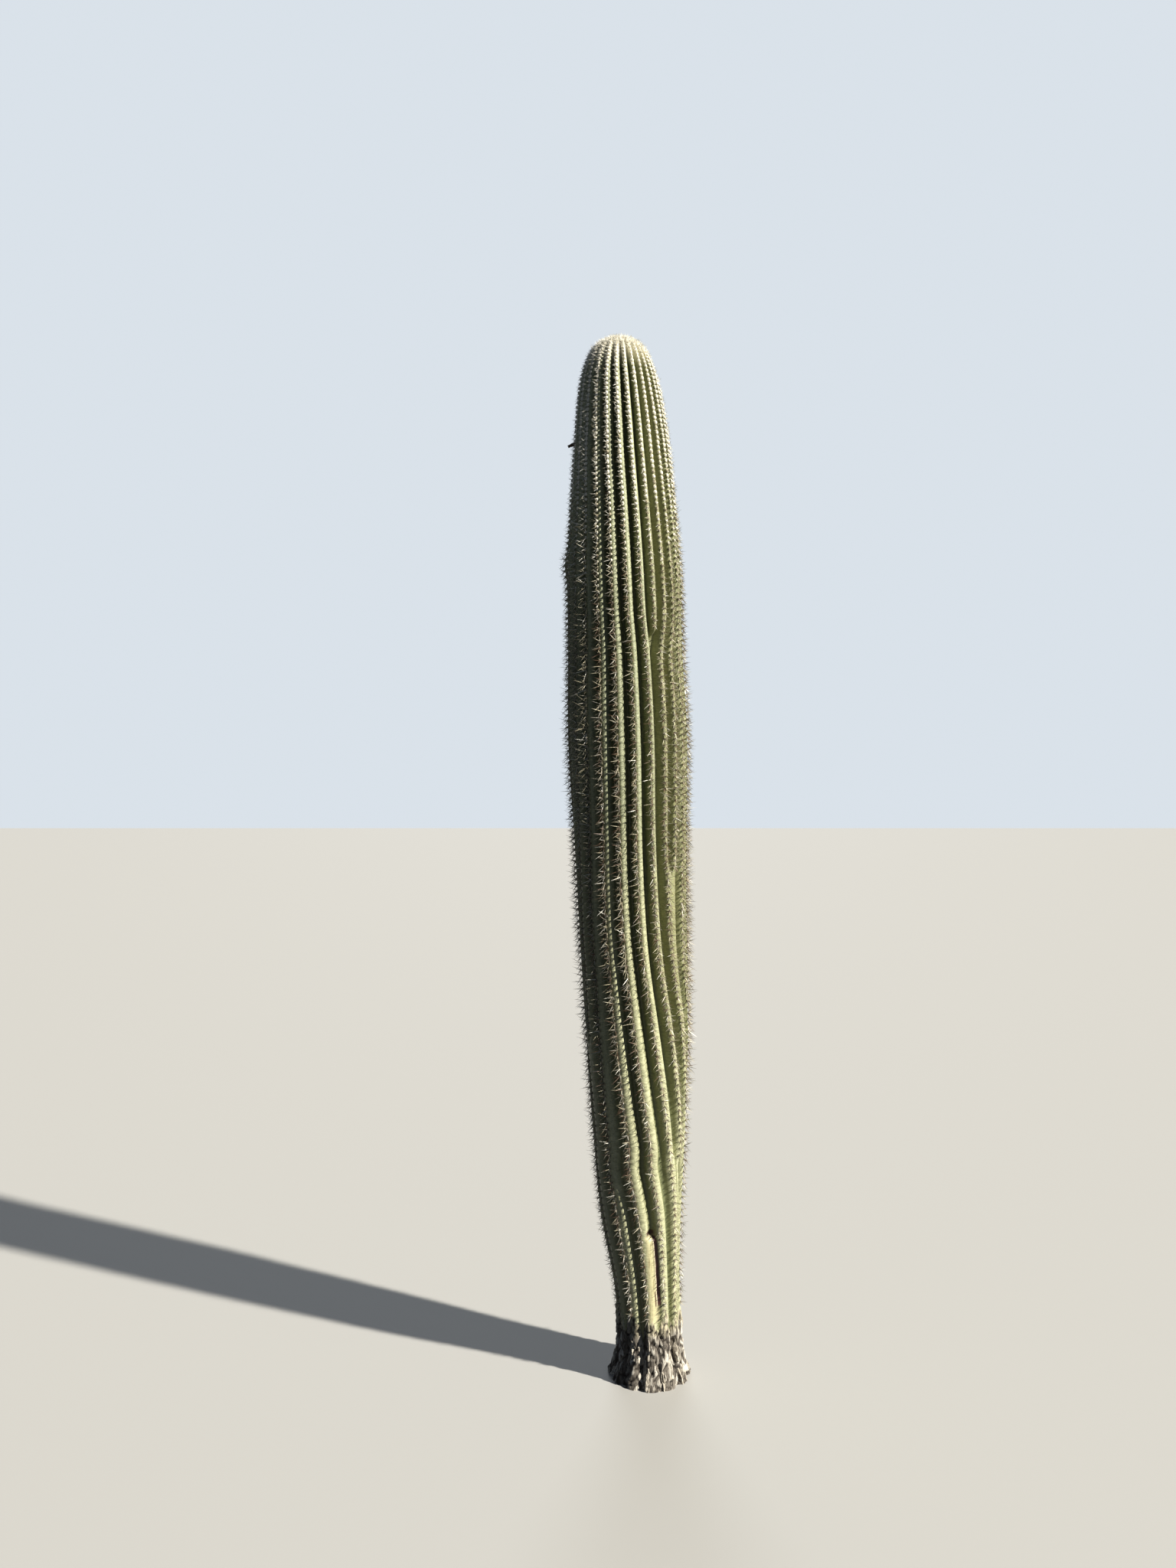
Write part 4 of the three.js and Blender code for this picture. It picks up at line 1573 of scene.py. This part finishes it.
@dataclass
class SpineRows:
    """Felt pads with their clusters of spines along every rib."""

    column: Column
    lowest: float = 0.262
    delay: float = 0.045
    tip_gap: float = 0.030
    rows_per_piece: int = 4
    felt_rows_per_piece: int = 13
    # Place of the clusters across the crest, the share of its length that a spine to the right has,
    # and how far the roots of a cluster lie apart and off the skin
    across: float = -0.20
    right_share: float = 0.62
    root_scatter: tuple = (0.0012, 0.0016)
    root_lift: float = 0.0005
    # Spreading spines: how evenly they stand round the pad, and how far they rise off the skin
    radial_count: int = 8
    radial_thickness: float = 0.0012
    radial_spread: tuple = (0.72, 1.25)
    radial_jitter: float = 0.3
    radial_rise_degrees: tuple = (10, 40)
    side_bias: float = 0.46
    # Outer spines: degrees round the pad, 0 up the rib and positive to the right, and off the skin
    outer_spines: tuple = ((-96, 36), (112, 40), (180, 42), (-138, 44), (150, 48), (-50, 52), (25, 64))
    outer_sizes: tuple = (1.0, 0.72, 1.0, 1.0, 0.85, 1.0, 0.9)
    outer_thickness: float = 0.0021
    outer_spread: tuple = (0.60, 1.18)
    outer_turn_spread: float = 0.30
    outer_rise_spread: float = 0.20
    # How far the outer spines sag, less and less over these distances below the tip
    outer_sag: float = 0.30
    outer_sag_below: tuple = (0.1, 1.2)
    # Height, with the share of its full thickness that a spine has there, and how that share varies
    slimming: tuple = ((3.0, 1.0), (3.5, 0.78))
    thickness_spread: tuple = (0.8, 1.2)
    # On the sunny side the right ones are not shorter, and the spreading ones are longer
    sunny_from: tuple = (0.60, 0.86)
    sunny_low: tuple = (1.0, 1.4)
    sunny_high: tuple = (3.0, 3.5)
    sunny_growth: float = 0.55
    # In front, just past the edge of the shade, the outer spines are longer high up, and paler as painted
    # light
    shade_edge: tuple = (-0.48, 0.19)
    shade_front: tuple = (0.0, 0.3)
    shade_low: tuple = (1.9, 2.5)
    shade_high: tuple = (3.7, 3.9)
    shade_growth: float = 0.62
    painted_light_paling: float = 0.60
    # Height, with the lengths there of the spreading and of the outer spines
    lengths: tuple = (
        (0.30, 0.016, 0.031),
        (1.00, 0.018, 0.040),
        (1.80, 0.019, 0.043),
        (2.60, 0.017, 0.038),
        (3.10, 0.012, 0.029),
        (3.40, 0.010, 0.023),
        (3.90, 0.009, 0.017),
        (4.00, 0.010, 0.016),
    )
    # Height, with the shares of white, straw and grey spines there; the rest are brown
    tones: tuple = (
        (0.30, 0.12, 0.34, 0.30),
        (1.80, 0.06, 0.34, 0.32),
        (2.90, 0.06, 0.38, 0.32),
        (3.30, 0.25, 0.47, 0.20),
        (3.70, 0.58, 0.36, 0.06),
        (4.00, 0.92, 0.08, 0.00),
    )
    # Felt pads: their size, how it varies and grows by height, the heights under which they turn tan
    # and grey, and how those vary
    felt_size: tuple = (0.0072, 0.0086, 0.0056)
    felt_spread: tuple = (0.85, 1.2)
    felt_growth: tuple = ((0.3, 0.75), (2.8, 0.85), (3.15, 1.30), (3.5, 1.95), (3.85, 1.90), (4.0, 1.30))
    felt_ages: tuple = (3.20, 2.45)
    felt_age_spread: float = 0.18

    def _clusters(self, rib: int, start: float) -> np.ndarray:
        """Finds the places of one rib's clusters.

        Args:
            rib: The rib's number.
            start: Height where its row starts.

        Returns:
            One place for each cluster.
        """
        column = self.column
        low, high = column.place_at(start), column.length - self.tip_gap
        shift = column.cluster_shift[rib]
        counted = column.cluster_count
        first = math.ceil(np.interp(low, column.places, counted) + shift)
        last = math.floor(np.interp(high, column.places, counted) + shift)
        return np.interp(np.arange(first, last + 1) - shift, counted, column.places)

    def _stand(self, ribs: range, starts: list[float]) -> tuple[np.ndarray, np.ndarray]:
        """Roots of all clusters on some ribs, with the directions on the surface at each.

        Args:
            ribs: Numbers of the ribs.
            starts: Height where each rib's row starts.

        Returns:
            One point, and one set of rows to the right, up the rib and outwards, for each cluster.
        """
        found = [self._clusters(rib, starts[rib]) for rib in ribs]
        place = np.concatenate(found)
        rib = np.repeat(ribs, [len(places) for places in found])
        across = np.full(len(place), self.across)
        return self.column.points(place, rib, across), self.column.frames(place, rib, across)

    def _lengths(self, height: np.ndarray, rng: np.random.Generator) -> np.ndarray:
        """Deals each spine its length.

        Args:
            height: Height of each cluster.
            rng: Source of chance.

        Returns:
            A row for each cluster, with the outer spines last.
        """
        heights, radial, outer = np.array(self.lengths).T
        radials = np.interp(height, heights, radial)[:, None]
        outers = np.interp(height, heights, outer)[:, None]
        radials = radials * rng.uniform(*self.radial_spread, (len(height), self.radial_count))
        outers = outers * rng.uniform(*self.outer_spread, (len(height), len(self.outer_spines)))
        return np.concatenate([radials, outers * np.array(self.outer_sizes)], axis=1)

    def _directions(self, count: int, rng: np.random.Generator) -> tuple[np.ndarray, np.ndarray]:
        """Deals each spine its direction.

        Args:
            count: Number of clusters.
            rng: Source of chance.

        Returns:
            The angle round the pad, 0 up the rib and positive to the right, and the rise off the
            skin. Each has a row for each cluster, with the outer spines last.
        """
        step = TAU / self.radial_count
        jitter = rng.uniform(-self.radial_jitter, self.radial_jitter, (count, self.radial_count))
        turn = (np.arange(self.radial_count) + jitter) * step + rng.uniform(0, TAU, (count, 1))
        turn = turn + self.side_bias * np.sin(2 * turn)
        rise = np.radians(rng.uniform(*self.radial_rise_degrees, (count, self.radial_count)))
        outer_turn, outer_rise = np.radians(self.outer_spines).T
        turns = outer_turn + rng.normal(0, self.outer_turn_spread, (count, len(outer_turn)))
        rises = outer_rise + rng.normal(0, self.outer_rise_spread, (count, len(outer_turn)))
        return np.concatenate([turn, turns], axis=1), np.concatenate([rise, rises], axis=1)

    def _by_light(self, height: np.ndarray, out: np.ndarray) -> tuple[np.ndarray, np.ndarray]:
        """Finds the clusters that face the light in two ways.

        Args:
            height: Height of each cluster.
            out: Direction out of the surface at each.

        Returns:
            How far each is one of the sunny side's, and one past the edge of the shade.
        """
        sun = math.radians(self.column.sunny_degrees)
        sunward = out[:, 0] * math.cos(sun) + out[:, 1] * math.sin(sun)
        sunny = smoothstep(sunward, *self.sunny_from) * smoothstep(height, *self.sunny_low)
        sunny *= 1 - smoothstep(height, *self.sunny_high)
        shade = bell(sunward, *self.shade_edge) * smoothstep(-out[:, 1], *self.shade_front)
        shade *= smoothstep(height, *self.shade_low) * (1 - smoothstep(height, *self.shade_high))
        return sunny[:, None], shade[:, None]

    def _tones(self, height: np.ndarray, shade: np.ndarray, rng: np.random.Generator) -> np.ndarray:
        """Deals each spine a tone: pale when young, grey and brown when old, and paler past the edge of
        the shade as painted light.

        Args:
            height: Height of each spine.
            shade: How far each is past the edge of the shade.
            rng: Source of chance.

        Returns:
            Number of each spine's tone.
        """
        heights, *shares = np.array(self.tones).T
        levels = np.cumsum([np.interp(height, heights, share) for share in shares], axis=0)
        # Painted light: spines past the edge of the shade are dealt paler tones
        chance = rng.uniform(0, 1, height.shape) * (1 - self.painted_light_paling * shade)
        return np.sum(chance >= levels, axis=0)

    def _spine_piece(self, name: str, ribs: range, starts: list[float], spine: Pattern,
                     materials: list[bpy.types.Material], rng: np.random.Generator) -> bpy.types.Object:
        """Builds the joined spines of some rows.

        Args:
            name: The piece's name.
            ribs: Numbers of the ribs.
            starts: Height where each rib's row starts.
            spine: The shape of one spine.
            materials: Finish of each tone.
            rng: Source of chance.

        Returns:
            The joined piece.
        """
        roots, frames = self._stand(ribs, starts)
        around, up, out = frames.transpose(1, 0, 2)
        height = roots[:, 2]
        turn, rise = self._directions(len(roots), rng)
        length = self._lengths(height, rng)
        sunny, shade = self._by_light(height, out)
        length *= 1 - (1 - self.right_share) * (1 - sunny) * np.clip(np.sin(turn), 0, 1)
        length[:, :self.radial_count] *= 1 + self.sunny_growth * sunny
        length[:, self.radial_count:] *= 1 + self.shade_growth * shade
        spines = length.shape[1]
        outer = np.tile(np.arange(spines) >= self.radial_count, (len(roots), 1))
        thick = np.where(outer, self.outer_thickness, self.radial_thickness)
        thick = (thick * np.interp(height, *np.array(self.slimming).T)[:, None]).ravel()

        flat = np.cos(turn)[..., None] * up[:, None] + np.sin(turn)[..., None] * around[:, None]
        axis = np.cos(rise)[..., None] * flat + np.sin(rise)[..., None] * out[:, None]
        sag = np.where(outer, rng.uniform(0.0, self.outer_sag, outer.shape), 0.0)
        top = self.column.outline[-1][0]
        axis[..., 2] -= sag * smoothstep(top - height, *self.outer_sag_below)[:, None]
        axis = unit(axis).reshape(-1, 3)
        scatter = rng.normal(0, 1, (len(roots), spines, 2)) * np.array(self.root_scatter)
        start = roots[:, None] + scatter[..., :1] * around[:, None] + scatter[..., 1:] * up[:, None]
        start = (start + self.root_lift * out[:, None]).reshape(-1, 3)
        side = unit(np.cross(axis, unit(rng.normal(0, 1, axis.shape))))
        size = np.stack([thick, thick, length.ravel()], axis=1)
        size[:, :2] *= rng.uniform(*self.thickness_spread, (len(size), 1))
        frames = np.stack([side, np.cross(axis, side), axis], axis=1)
        vertices, triangles = spine.scatter(start, frames, size)
        tones = self._tones(np.repeat(height, spines), np.repeat(shade[:, 0], spines), rng)
        face_tones = np.repeat(tones, len(spine.triangles))
        return make_piece(name, vertices, [triangles], materials, face_tones, smooth=False)

    def _felt_piece(self, name: str, ribs: range, starts: list[float], pad: Pattern,
                    materials: list[bpy.types.Material], rng: np.random.Generator) -> bpy.types.Object:
        """Builds the joined felt pads of some rows.

        Args:
            name: The piece's name.
            ribs: Numbers of the ribs.
            starts: Height where each rib's row starts.
            pad: The shape of one pad.
            materials: Finish of each tone.
            rng: Source of chance.

        Returns:
            The joined piece.
        """
        roots, frames = self._stand(ribs, starts)
        scales = np.array(self.felt_size) * rng.uniform(*self.felt_spread, (len(roots), 3))
        scales *= np.interp(roots[:, 2], *np.array(self.felt_growth).T)[:, None]
        vertices, triangles = pad.scatter(roots, frames, scales)
        youth = roots[:, 2] + rng.normal(0, self.felt_age_spread, len(roots))
        tones = np.sum(youth[:, None] <= np.array(self.felt_ages), axis=1)
        return make_piece(name, vertices, [triangles], materials, np.repeat(tones, len(pad.triangles)))

    def _shares(self, rows: int) -> list[tuple[range, str]]:
        """Shares the ribs out over pieces.

        Args:
            rows: How many ribs a piece has.

        Returns:
            The ribs' numbers and the name's ending for each piece.
        """
        count = self.column.rib_count
        shares = [range(first, min(first + rows, count)) for first in range(0, count, rows)]
        return [(ribs, f"{ribs[0] + 1:02d}_{ribs[-1] + 1:02d}") for ribs in shares]

    def build(self) -> None:
        """Builds and dresses the pads and the spines of every row."""
        rng = np.random.default_rng(SEED + 1)
        spine, pad = model_spine(), model_felt_pad()
        spine_materials = [tone.value.build() for tone in SpineTone]
        felt_materials = [tone.value.build() for tone in FeltTone]
        starts = rib_starts(self.column.ribs, self.lowest, self.delay)
        for ribs, ending in self._shares(self.felt_rows_per_piece):
            dress(self._felt_piece("felt_pads_" + ending, ribs, starts, pad, felt_materials, rng), "wool")
        for ribs, ending in self._shares(self.rows_per_piece):
            piece = self._spine_piece("spines_" + ending, ribs, starts, spine, spine_materials, rng)
            dress(piece, "spines", *[f"spine_row_{rib + 1:02d}" for rib in ribs])


@dataclass(frozen=True)
class Tuft:
    """One kind of spine or hair that stands on the dome round the tip."""

    name: str
    count: int
    lengths: tuple
    thickness: float
    # How far they lean away from straight out
    lie: float


@dataclass
class WoollyTip:
    """The growing tip: a cushion of wool with dense pale spines standing out of it."""

    column: Column
    cushion_radius: float = 0.050
    cushion_height: float = 0.012
    cushion_sunk: float = 0.002
    lump_size: float = 0.008
    lump_height: float = 0.006
    spines: Tuft = Tuft("tip_spines", 1900, (0.010, 0.023), 0.0016, 0.28)
    hairs: Tuft = Tuft("wool_hairs", 7600, (0.007, 0.016), 0.0012, 0.80)
    # How far down the dome they reach, how they thin out on the way, and how they lie on a rib
    reach: float = 0.165
    thinning: tuple = (2.0, 3.0)
    across_spread: float = 0.42
    across_limit: float = 0.95
    rim_lean: float = 0.5
    white_share: float = 0.85

    def _cushion(self, material: bpy.types.Material) -> bpy.types.Object:
        """Models the cushion: a flattened ball with a lumpy top.

        Args:
            material: Its finish.

        Returns:
            The cushion.
        """
        top, _, lean = self.column.outline[-1]
        start_modelling()
        bpy.ops.mesh.primitive_uv_sphere_add(segments=40, ring_count=20, radius=self.cushion_radius,
                                             location=(lean, 0, top - self.cushion_sunk))
        cushion = bpy.context.object
        cushion.name = cushion.data.name = "wool_cushion"
        bpy.ops.object.mode_set(mode="EDIT")
        bpy.ops.mesh.select_all(action="SELECT")
        bpy.ops.transform.resize(value=(1, 1, self.cushion_height / self.cushion_radius))
        bpy.ops.object.mode_set(mode="OBJECT")
        bpy.ops.object.transform_apply(location=True, rotation=True, scale=True)
        roughen(cushion, "wool_lumps", self.lump_size, self.lump_height)
        bpy.ops.object.shade_smooth()
        cushion.data.materials.append(material)
        return cushion

    def _roots(self, count: int, rng: np.random.Generator) -> tuple[np.ndarray, np.ndarray]:
        """Finds roots that thin out down the dome.

        Args:
            count: How many roots.
            rng: Source of chance.

        Returns:
            One point, and the direction out of the surface, for each.
        """
        column = self.column
        top, rim, lean = column.outline[-1]
        far = self.reach * rng.beta(*self.thinning, count)
        rib = rng.integers(column.rib_count, size=count)
        across = rng.normal(0, self.across_spread, count)
        across = np.clip(across, -self.across_limit, self.across_limit)
        place = column.length - np.maximum(far - rim, 0.0)
        roots = column.points(place, rib, across, False)
        out = column.frames(place, rib, across)[:, 2]
        turn = rng.uniform(0, TAU, count)
        ring = np.stack([np.cos(turn), np.sin(turn), np.zeros(count)], axis=1)
        level = ring * far[:, None] + np.array([lean, 0, top + self.cushion_height / 2])
        upright = unit(ring * (far / rim * self.rim_lean)[:, None] + np.array([0, 0, 1]))
        on_top = (far < rim)[:, None]
        return np.where(on_top, level, roots), np.where(on_top, upright, out)

    def _standing(self, tuft: Tuft, spine: Pattern, materials: list[bpy.types.Material],
                  rng: np.random.Generator) -> bpy.types.Object:
        """Builds spines or hairs that stand on the dome round the tip.

        Args:
            tuft: Their kind.
            spine: The shape of one.
            materials: Finishes to deal out, the first to most of them.
            rng: Source of chance.

        Returns:
            The joined piece.
        """
        roots, out = self._roots(tuft.count, rng)
        axis = unit(out + rng.normal(0, tuft.lie, roots.shape))
        side = unit(np.cross(axis, unit(rng.normal(0, 1, roots.shape))))
        frames = np.stack([side, np.cross(axis, side), axis], axis=1)
        length = rng.uniform(*tuft.lengths, tuft.count)
        size = np.stack([np.full(tuft.count, tuft.thickness)] * 2 + [length], axis=1)
        vertices, triangles = spine.scatter(roots, frames, size)
        tones = np.where(rng.uniform(0, 1, tuft.count) < self.white_share, 0, len(materials) - 1)
        face_tones = np.repeat(tones, len(spine.triangles))
        return make_piece(tuft.name, vertices, [triangles], materials, face_tones, smooth=False)

    def build(self) -> None:
        """Builds and dresses the cushion, the wool's hairs and the spines."""
        rng = np.random.default_rng(SEED + 2)
        wool = PlainFinish("tip_wool", (0.900, 0.880, 0.800, 1), 0.95, 0.4).build()
        spine = model_spine()
        pale = [bpy.data.materials[tone.value.name] for tone in (SpineTone.WHITE, SpineTone.STRAW)]
        dress(self._cushion(wool), "wool", "crown_spines")
        dress(self._standing(self.hairs, spine, [wool], rng), "wool")
        dress(self._standing(self.spines, spine, pale, rng), "spines")


@dataclass
class CorkPlates:
    """Loose plates of cork round the foot, each following the flesh under it."""

    column: Column
    count: int = 120
    across_points: int = 4
    along_points: int = 9
    # Ranges of the plates' places across a rib, lower ends, heights, widths as shares of half a rib,
    # and how far their middles stand off the flesh, with the share of plates that start at the ground
    places: tuple = (-0.85, 0.85)
    lows: tuple = (0.0, 0.17)
    grounded: float = 0.3
    talls: tuple = (0.03, 0.10)
    widths: tuple = (0.14, 0.34)
    lifts: tuple = (0.0015, 0.0045)
    # Outline of a plate: how it tapers, and how ragged its sides are
    taper_ends: float = 0.06
    taper_power: float = 0.45
    taper_least: float = 0.25
    ragged: tuple = (0.75, 1.15)
    wander: float = 0.05
    across_limit: float = 0.98
    # Section of a plate: how far it falls to its sides and ends, how uneven it is, and its thickness
    side_fall: float = 0.8
    end_fall: float = 0.45
    uneven: tuple = (0.7, 1.3)
    sunk: float = 0.003

    def _plate(self, rng: np.random.Generator) -> tuple[np.ndarray, np.ndarray]:
        """Builds one closed plate.

        Args:
            rng: Source of chance.

        Returns:
            Its points and quads.
        """
        column = self.column
        rib = int(rng.integers(column.rib_count))
        middle = rng.uniform(*self.places)
        low = rng.uniform(*self.lows) if rng.uniform() > self.grounded else 0.0
        high = low + rng.uniform(*self.talls)
        width, lift = rng.uniform(*self.widths), rng.uniform(*self.lifts)

        rows, columns = self.along_points, self.across_points
        along = np.linspace(0, 1, rows)
        side = np.linspace(-1, 1, columns)[None]
        taper = np.sin(math.pi * np.clip(along, self.taper_ends, 1 - self.taper_ends))
        taper = np.clip(taper ** self.taper_power, self.taper_least, 1)[:, None]
        ragged = rng.uniform(*self.ragged, (rows, 1))
        across = middle + width * (side * taper * ragged + rng.normal(0, self.wander, (rows, 1)))
        across = np.clip(across, -self.across_limit, self.across_limit).ravel()
        foot, head = column.place_at(low), column.place_at(high)
        place = np.repeat(foot + (head - foot) * along, columns)
        ribs = np.full(len(place), rib)
        points = column.points(place, ribs, across)
        out = column.frames(place, ribs, across)[:, 2]
        crown = (1 - np.abs(side) ** 3 * self.side_fall) * (1 - self.end_fall * (1 - taper))
        rise = lift * crown * rng.uniform(*self.uneven, crown.shape)
        vertices = np.concatenate([points + out * rise.reshape(-1, 1), points - out * self.sunk])
        vertices[:, 2] = np.maximum(vertices[:, 2], 0.0)

        count = len(points)
        corner = (np.arange(rows - 1)[:, None] * columns + np.arange(columns - 1)).ravel()
        front = np.stack([corner, corner + 1, corner + 1 + columns, corner + columns], axis=1)
        rim = self._rim()
        following = np.roll(rim, -1)
        wall = np.stack([rim, rim + count, following + count, following], axis=1)
        return vertices, np.concatenate([front, front[:, ::-1] + count, wall])

    def _rim(self) -> np.ndarray:
        """Finds a plate's rim points, going round it counter-clockwise.

        Returns:
            Their numbers.
        """
        rows, columns = self.along_points, self.across_points
        foot = np.arange(columns)
        right = np.arange(1, rows) * columns + columns - 1
        top = (rows - 1) * columns + np.arange(columns - 2, -1, -1)
        left = np.arange(rows - 2, 0, -1) * columns
        return np.concatenate([foot, right, top, left])

    def build(self, effects: Effects) -> None:
        """Builds and dresses all plates as one piece.

        Args:
            effects: The shared node groups.
        """
        rng = np.random.default_rng(SEED + 3)
        plates = [self._plate(rng) for _ in range(self.count)]
        points = np.concatenate([vertices for vertices, _ in plates])
        each = self.along_points * self.across_points * 2
        quads = np.concatenate([faces + i * each for i, (_, faces) in enumerate(plates)])
        piece = make_piece("cork_plates", points, [quads], [CorkFinish().build(effects)], smooth=False)
        dress(piece, "bark")


@dataclass
class DriedFruit:
    """The small dried fruit that hangs beside a row of spines, high on the left."""

    column: Column
    height: float = 3.612
    degrees: float = -88.0
    length: float = 0.030
    sunk: float = 0.016
    radius: float = 0.0058
    droop_degrees: float = 24.0
    aside: float = 0.0096
    # Sections along it: the share of its length that each adds, and how much wider it ends
    sections: tuple = ((0.20, 1.10), (0.22, 1.06), (0.20, 0.82), (0.14, 0.80), (0.12, 1.30), (0.12, 1.12))
    hollow: tuple = (0.35, 0.5)
    wrinkle_size: float = 0.004
    wrinkle_height: float = 0.0026

    def _axes(self) -> Matrix:
        """The fruit's own directions and place: its Z runs out along it.

        Returns:
            The matrix from its own space.
        """
        column = self.column
        rib = np.array([column.nearest_rib(self.height, self.degrees)])
        place = np.array([column.place_at(self.height)])
        crest = column.points(place, rib, np.zeros(1), False)[0]
        around, _, out = column.frames(place, rib, np.zeros(1))[0]
        level = unit(np.array([out[0], out[1], 0.0]))
        axis = Vector((*level[:2], -math.tan(math.radians(self.droop_degrees)))).normalized()
        turned = axis.to_track_quat("Z", "Y").to_matrix().to_4x4()
        return Matrix.Translation(Vector(crest + around * self.aside)) @ turned

    def build(self, effects: Effects) -> None:
        """Models the pod and the withered petals at its end, and dresses them.

        Args:
            effects: The shared node groups.
        """
        start_modelling()
        bpy.ops.mesh.primitive_cylinder_add(vertices=14, radius=self.radius, depth=self.sunk,
                                            location=(0, 0, -self.sunk / 2))
        fruit = bpy.context.object
        fruit.name = fruit.data.name = "dried_fruit_pod"
        bpy.ops.object.transform_apply(location=True)
        select_vertices(fruit, vertex_array(fruit)[:, 2] > -self.sunk / 2)
        for share, grow in self.sections:
            bpy.ops.mesh.extrude_region_move(
                TRANSFORM_OT_translate={"value": (0, 0, self.length * share)})
            bpy.ops.transform.resize(value=(grow, grow, 1))
        rim, depth = self.hollow
        bpy.ops.mesh.inset(thickness=self.radius * rim, depth=-self.radius * depth)
        bpy.ops.object.mode_set(mode="OBJECT")
        surface = fruit.modifiers.new("rounding", "SUBSURF")
        surface.levels = surface.render_levels = 2
        bpy.ops.object.modifier_apply(modifier=surface.name)
        roughen(fruit, "shrivelled_skin", self.wrinkle_size, self.wrinkle_height)
        fruit.data.transform(self._axes())
        fruit.data.materials.append(FruitFinish().build(effects))
        bpy.ops.object.shade_smooth()
        dress(fruit, "fruit", "dried_fruit")


@dataclass
class Studio:
    """Floor, lights and the camera at the photograph's viewing angle."""

    focal_pixels: float = 1538.0
    frame_height_pixels: float = 2048.0
    sensor: float = 36.0
    distance: float = 4.554
    eye_height: float = 2.464
    aside: float = -0.241
    down_degrees: float = 1.93
    floor_size: float = 60.0
    floor_colour: Colour = (0.38, 0.375, 0.36, 1)
    sky: Colour = (0.66, 0.79, 1.0, 1)
    sky_strength: float = 0.100
    backdrop: Colour = (0.70, 0.76, 0.82, 1)
    # Name, degrees right of the front, degrees of rise, power, degrees of softness, and colour
    lights: tuple = (
        ("key", 65.5, 31.0, 9.3, 1.5, (1.0, 0.95, 0.85)),
        ("back_fill", 180.0, 30.0, 1.6, 30.0, (0.90, 0.95, 1.0)),
    )

    def _camera(self) -> None:
        """Places the camera."""
        data = bpy.data.cameras.new("camera")
        data.sensor_fit = "VERTICAL"
        data.sensor_width = self.sensor
        data.sensor_height = self.sensor
        data.lens = self.focal_pixels / self.frame_height_pixels * self.sensor
        data.clip_end = 200
        camera = bpy.data.objects.new("camera", data)
        camera.location = (self.aside, -self.distance, self.eye_height)
        camera.rotation_euler = (math.radians(90 - self.down_degrees), 0, 0)
        bpy.context.scene.collection.objects.link(camera)
        bpy.context.scene.camera = camera

    def _light(self, name: str, degrees: float, rise: float, power: float, softness: float,
               colour: tuple[float, float, float]) -> None:
        """Places a wide, distant light.

        Args:
            name: The light's name.
            degrees: Angle to the right of the front that it shines from.
            rise: Degrees above the level.
            power: Strength in watts per square metre.
            softness: Degrees that the light spans, which blur its shadows.
            colour: The light's colour.
        """
        data = bpy.data.lights.new(name, "SUN")
        data.energy, data.angle, data.color = power, math.radians(softness), colour
        light = bpy.data.objects.new(name, data)
        turn, lift = math.radians(degrees - 90), math.radians(rise)
        away = Vector((math.cos(turn) * math.cos(lift), math.sin(turn) * math.cos(lift), math.sin(lift)))
        light.rotation_euler = (-away).to_track_quat("-Z", "Y").to_euler()
        bpy.context.scene.collection.objects.link(light)

    def _floor(self) -> None:
        """Lays the pale floor."""
        start_modelling()
        bpy.ops.mesh.primitive_plane_add(size=self.floor_size, location=(0, 0, 0))
        floor = bpy.context.object
        floor.name = "floor"
        floor.data.materials.append(PlainFinish("floor", self.floor_colour, 0.9).build())
        floor.visible_diffuse = False

    def _surroundings(self) -> None:
        """Lights the scene weakly from all round, behind a paler backdrop."""
        world = bpy.data.worlds.new("studio")
        world.use_nodes = True
        sheet = NodeSheet(world.node_tree)
        ambient = world.node_tree.nodes["Background"]
        sheet.fill(ambient, {"Color": self.sky, "Strength": self.sky_strength})
        backdrop = sheet.add("Background", {"Color": self.backdrop, "Strength": 1.0})
        seen = sheet.add("LightPath").outputs["Is Camera Ray"]
        both = sheet.add("MixShader", {0: seen, 1: ambient.outputs[0], 2: backdrop.outputs[0]})
        sheet.fill(world.node_tree.nodes["World Output"], {"Surface": both.outputs[0]})
        bpy.context.scene.world = world

    def build(self) -> None:
        """Sets up the studio."""
        self._camera()
        self._floor()
        for light in self.lights:
            self._light(*light)
        self._surroundings()
        bpy.context.scene.view_settings.view_transform = "Standard"


def main() -> None:
    """Builds the studio and then the plant, from the flesh outwards."""
    logging.basicConfig(level=logging.INFO, format="%(message)s")
    Studio().build()
    effects = Effects.build()
    column = Column()
    Flesh(column).build(effects)
    CorkPlates(column).build(effects)
    SpineRows(column).build()
    WoollyTip(column).build()
    DriedFruit(column).build(effects)


if __name__ == "__main__":
    main()
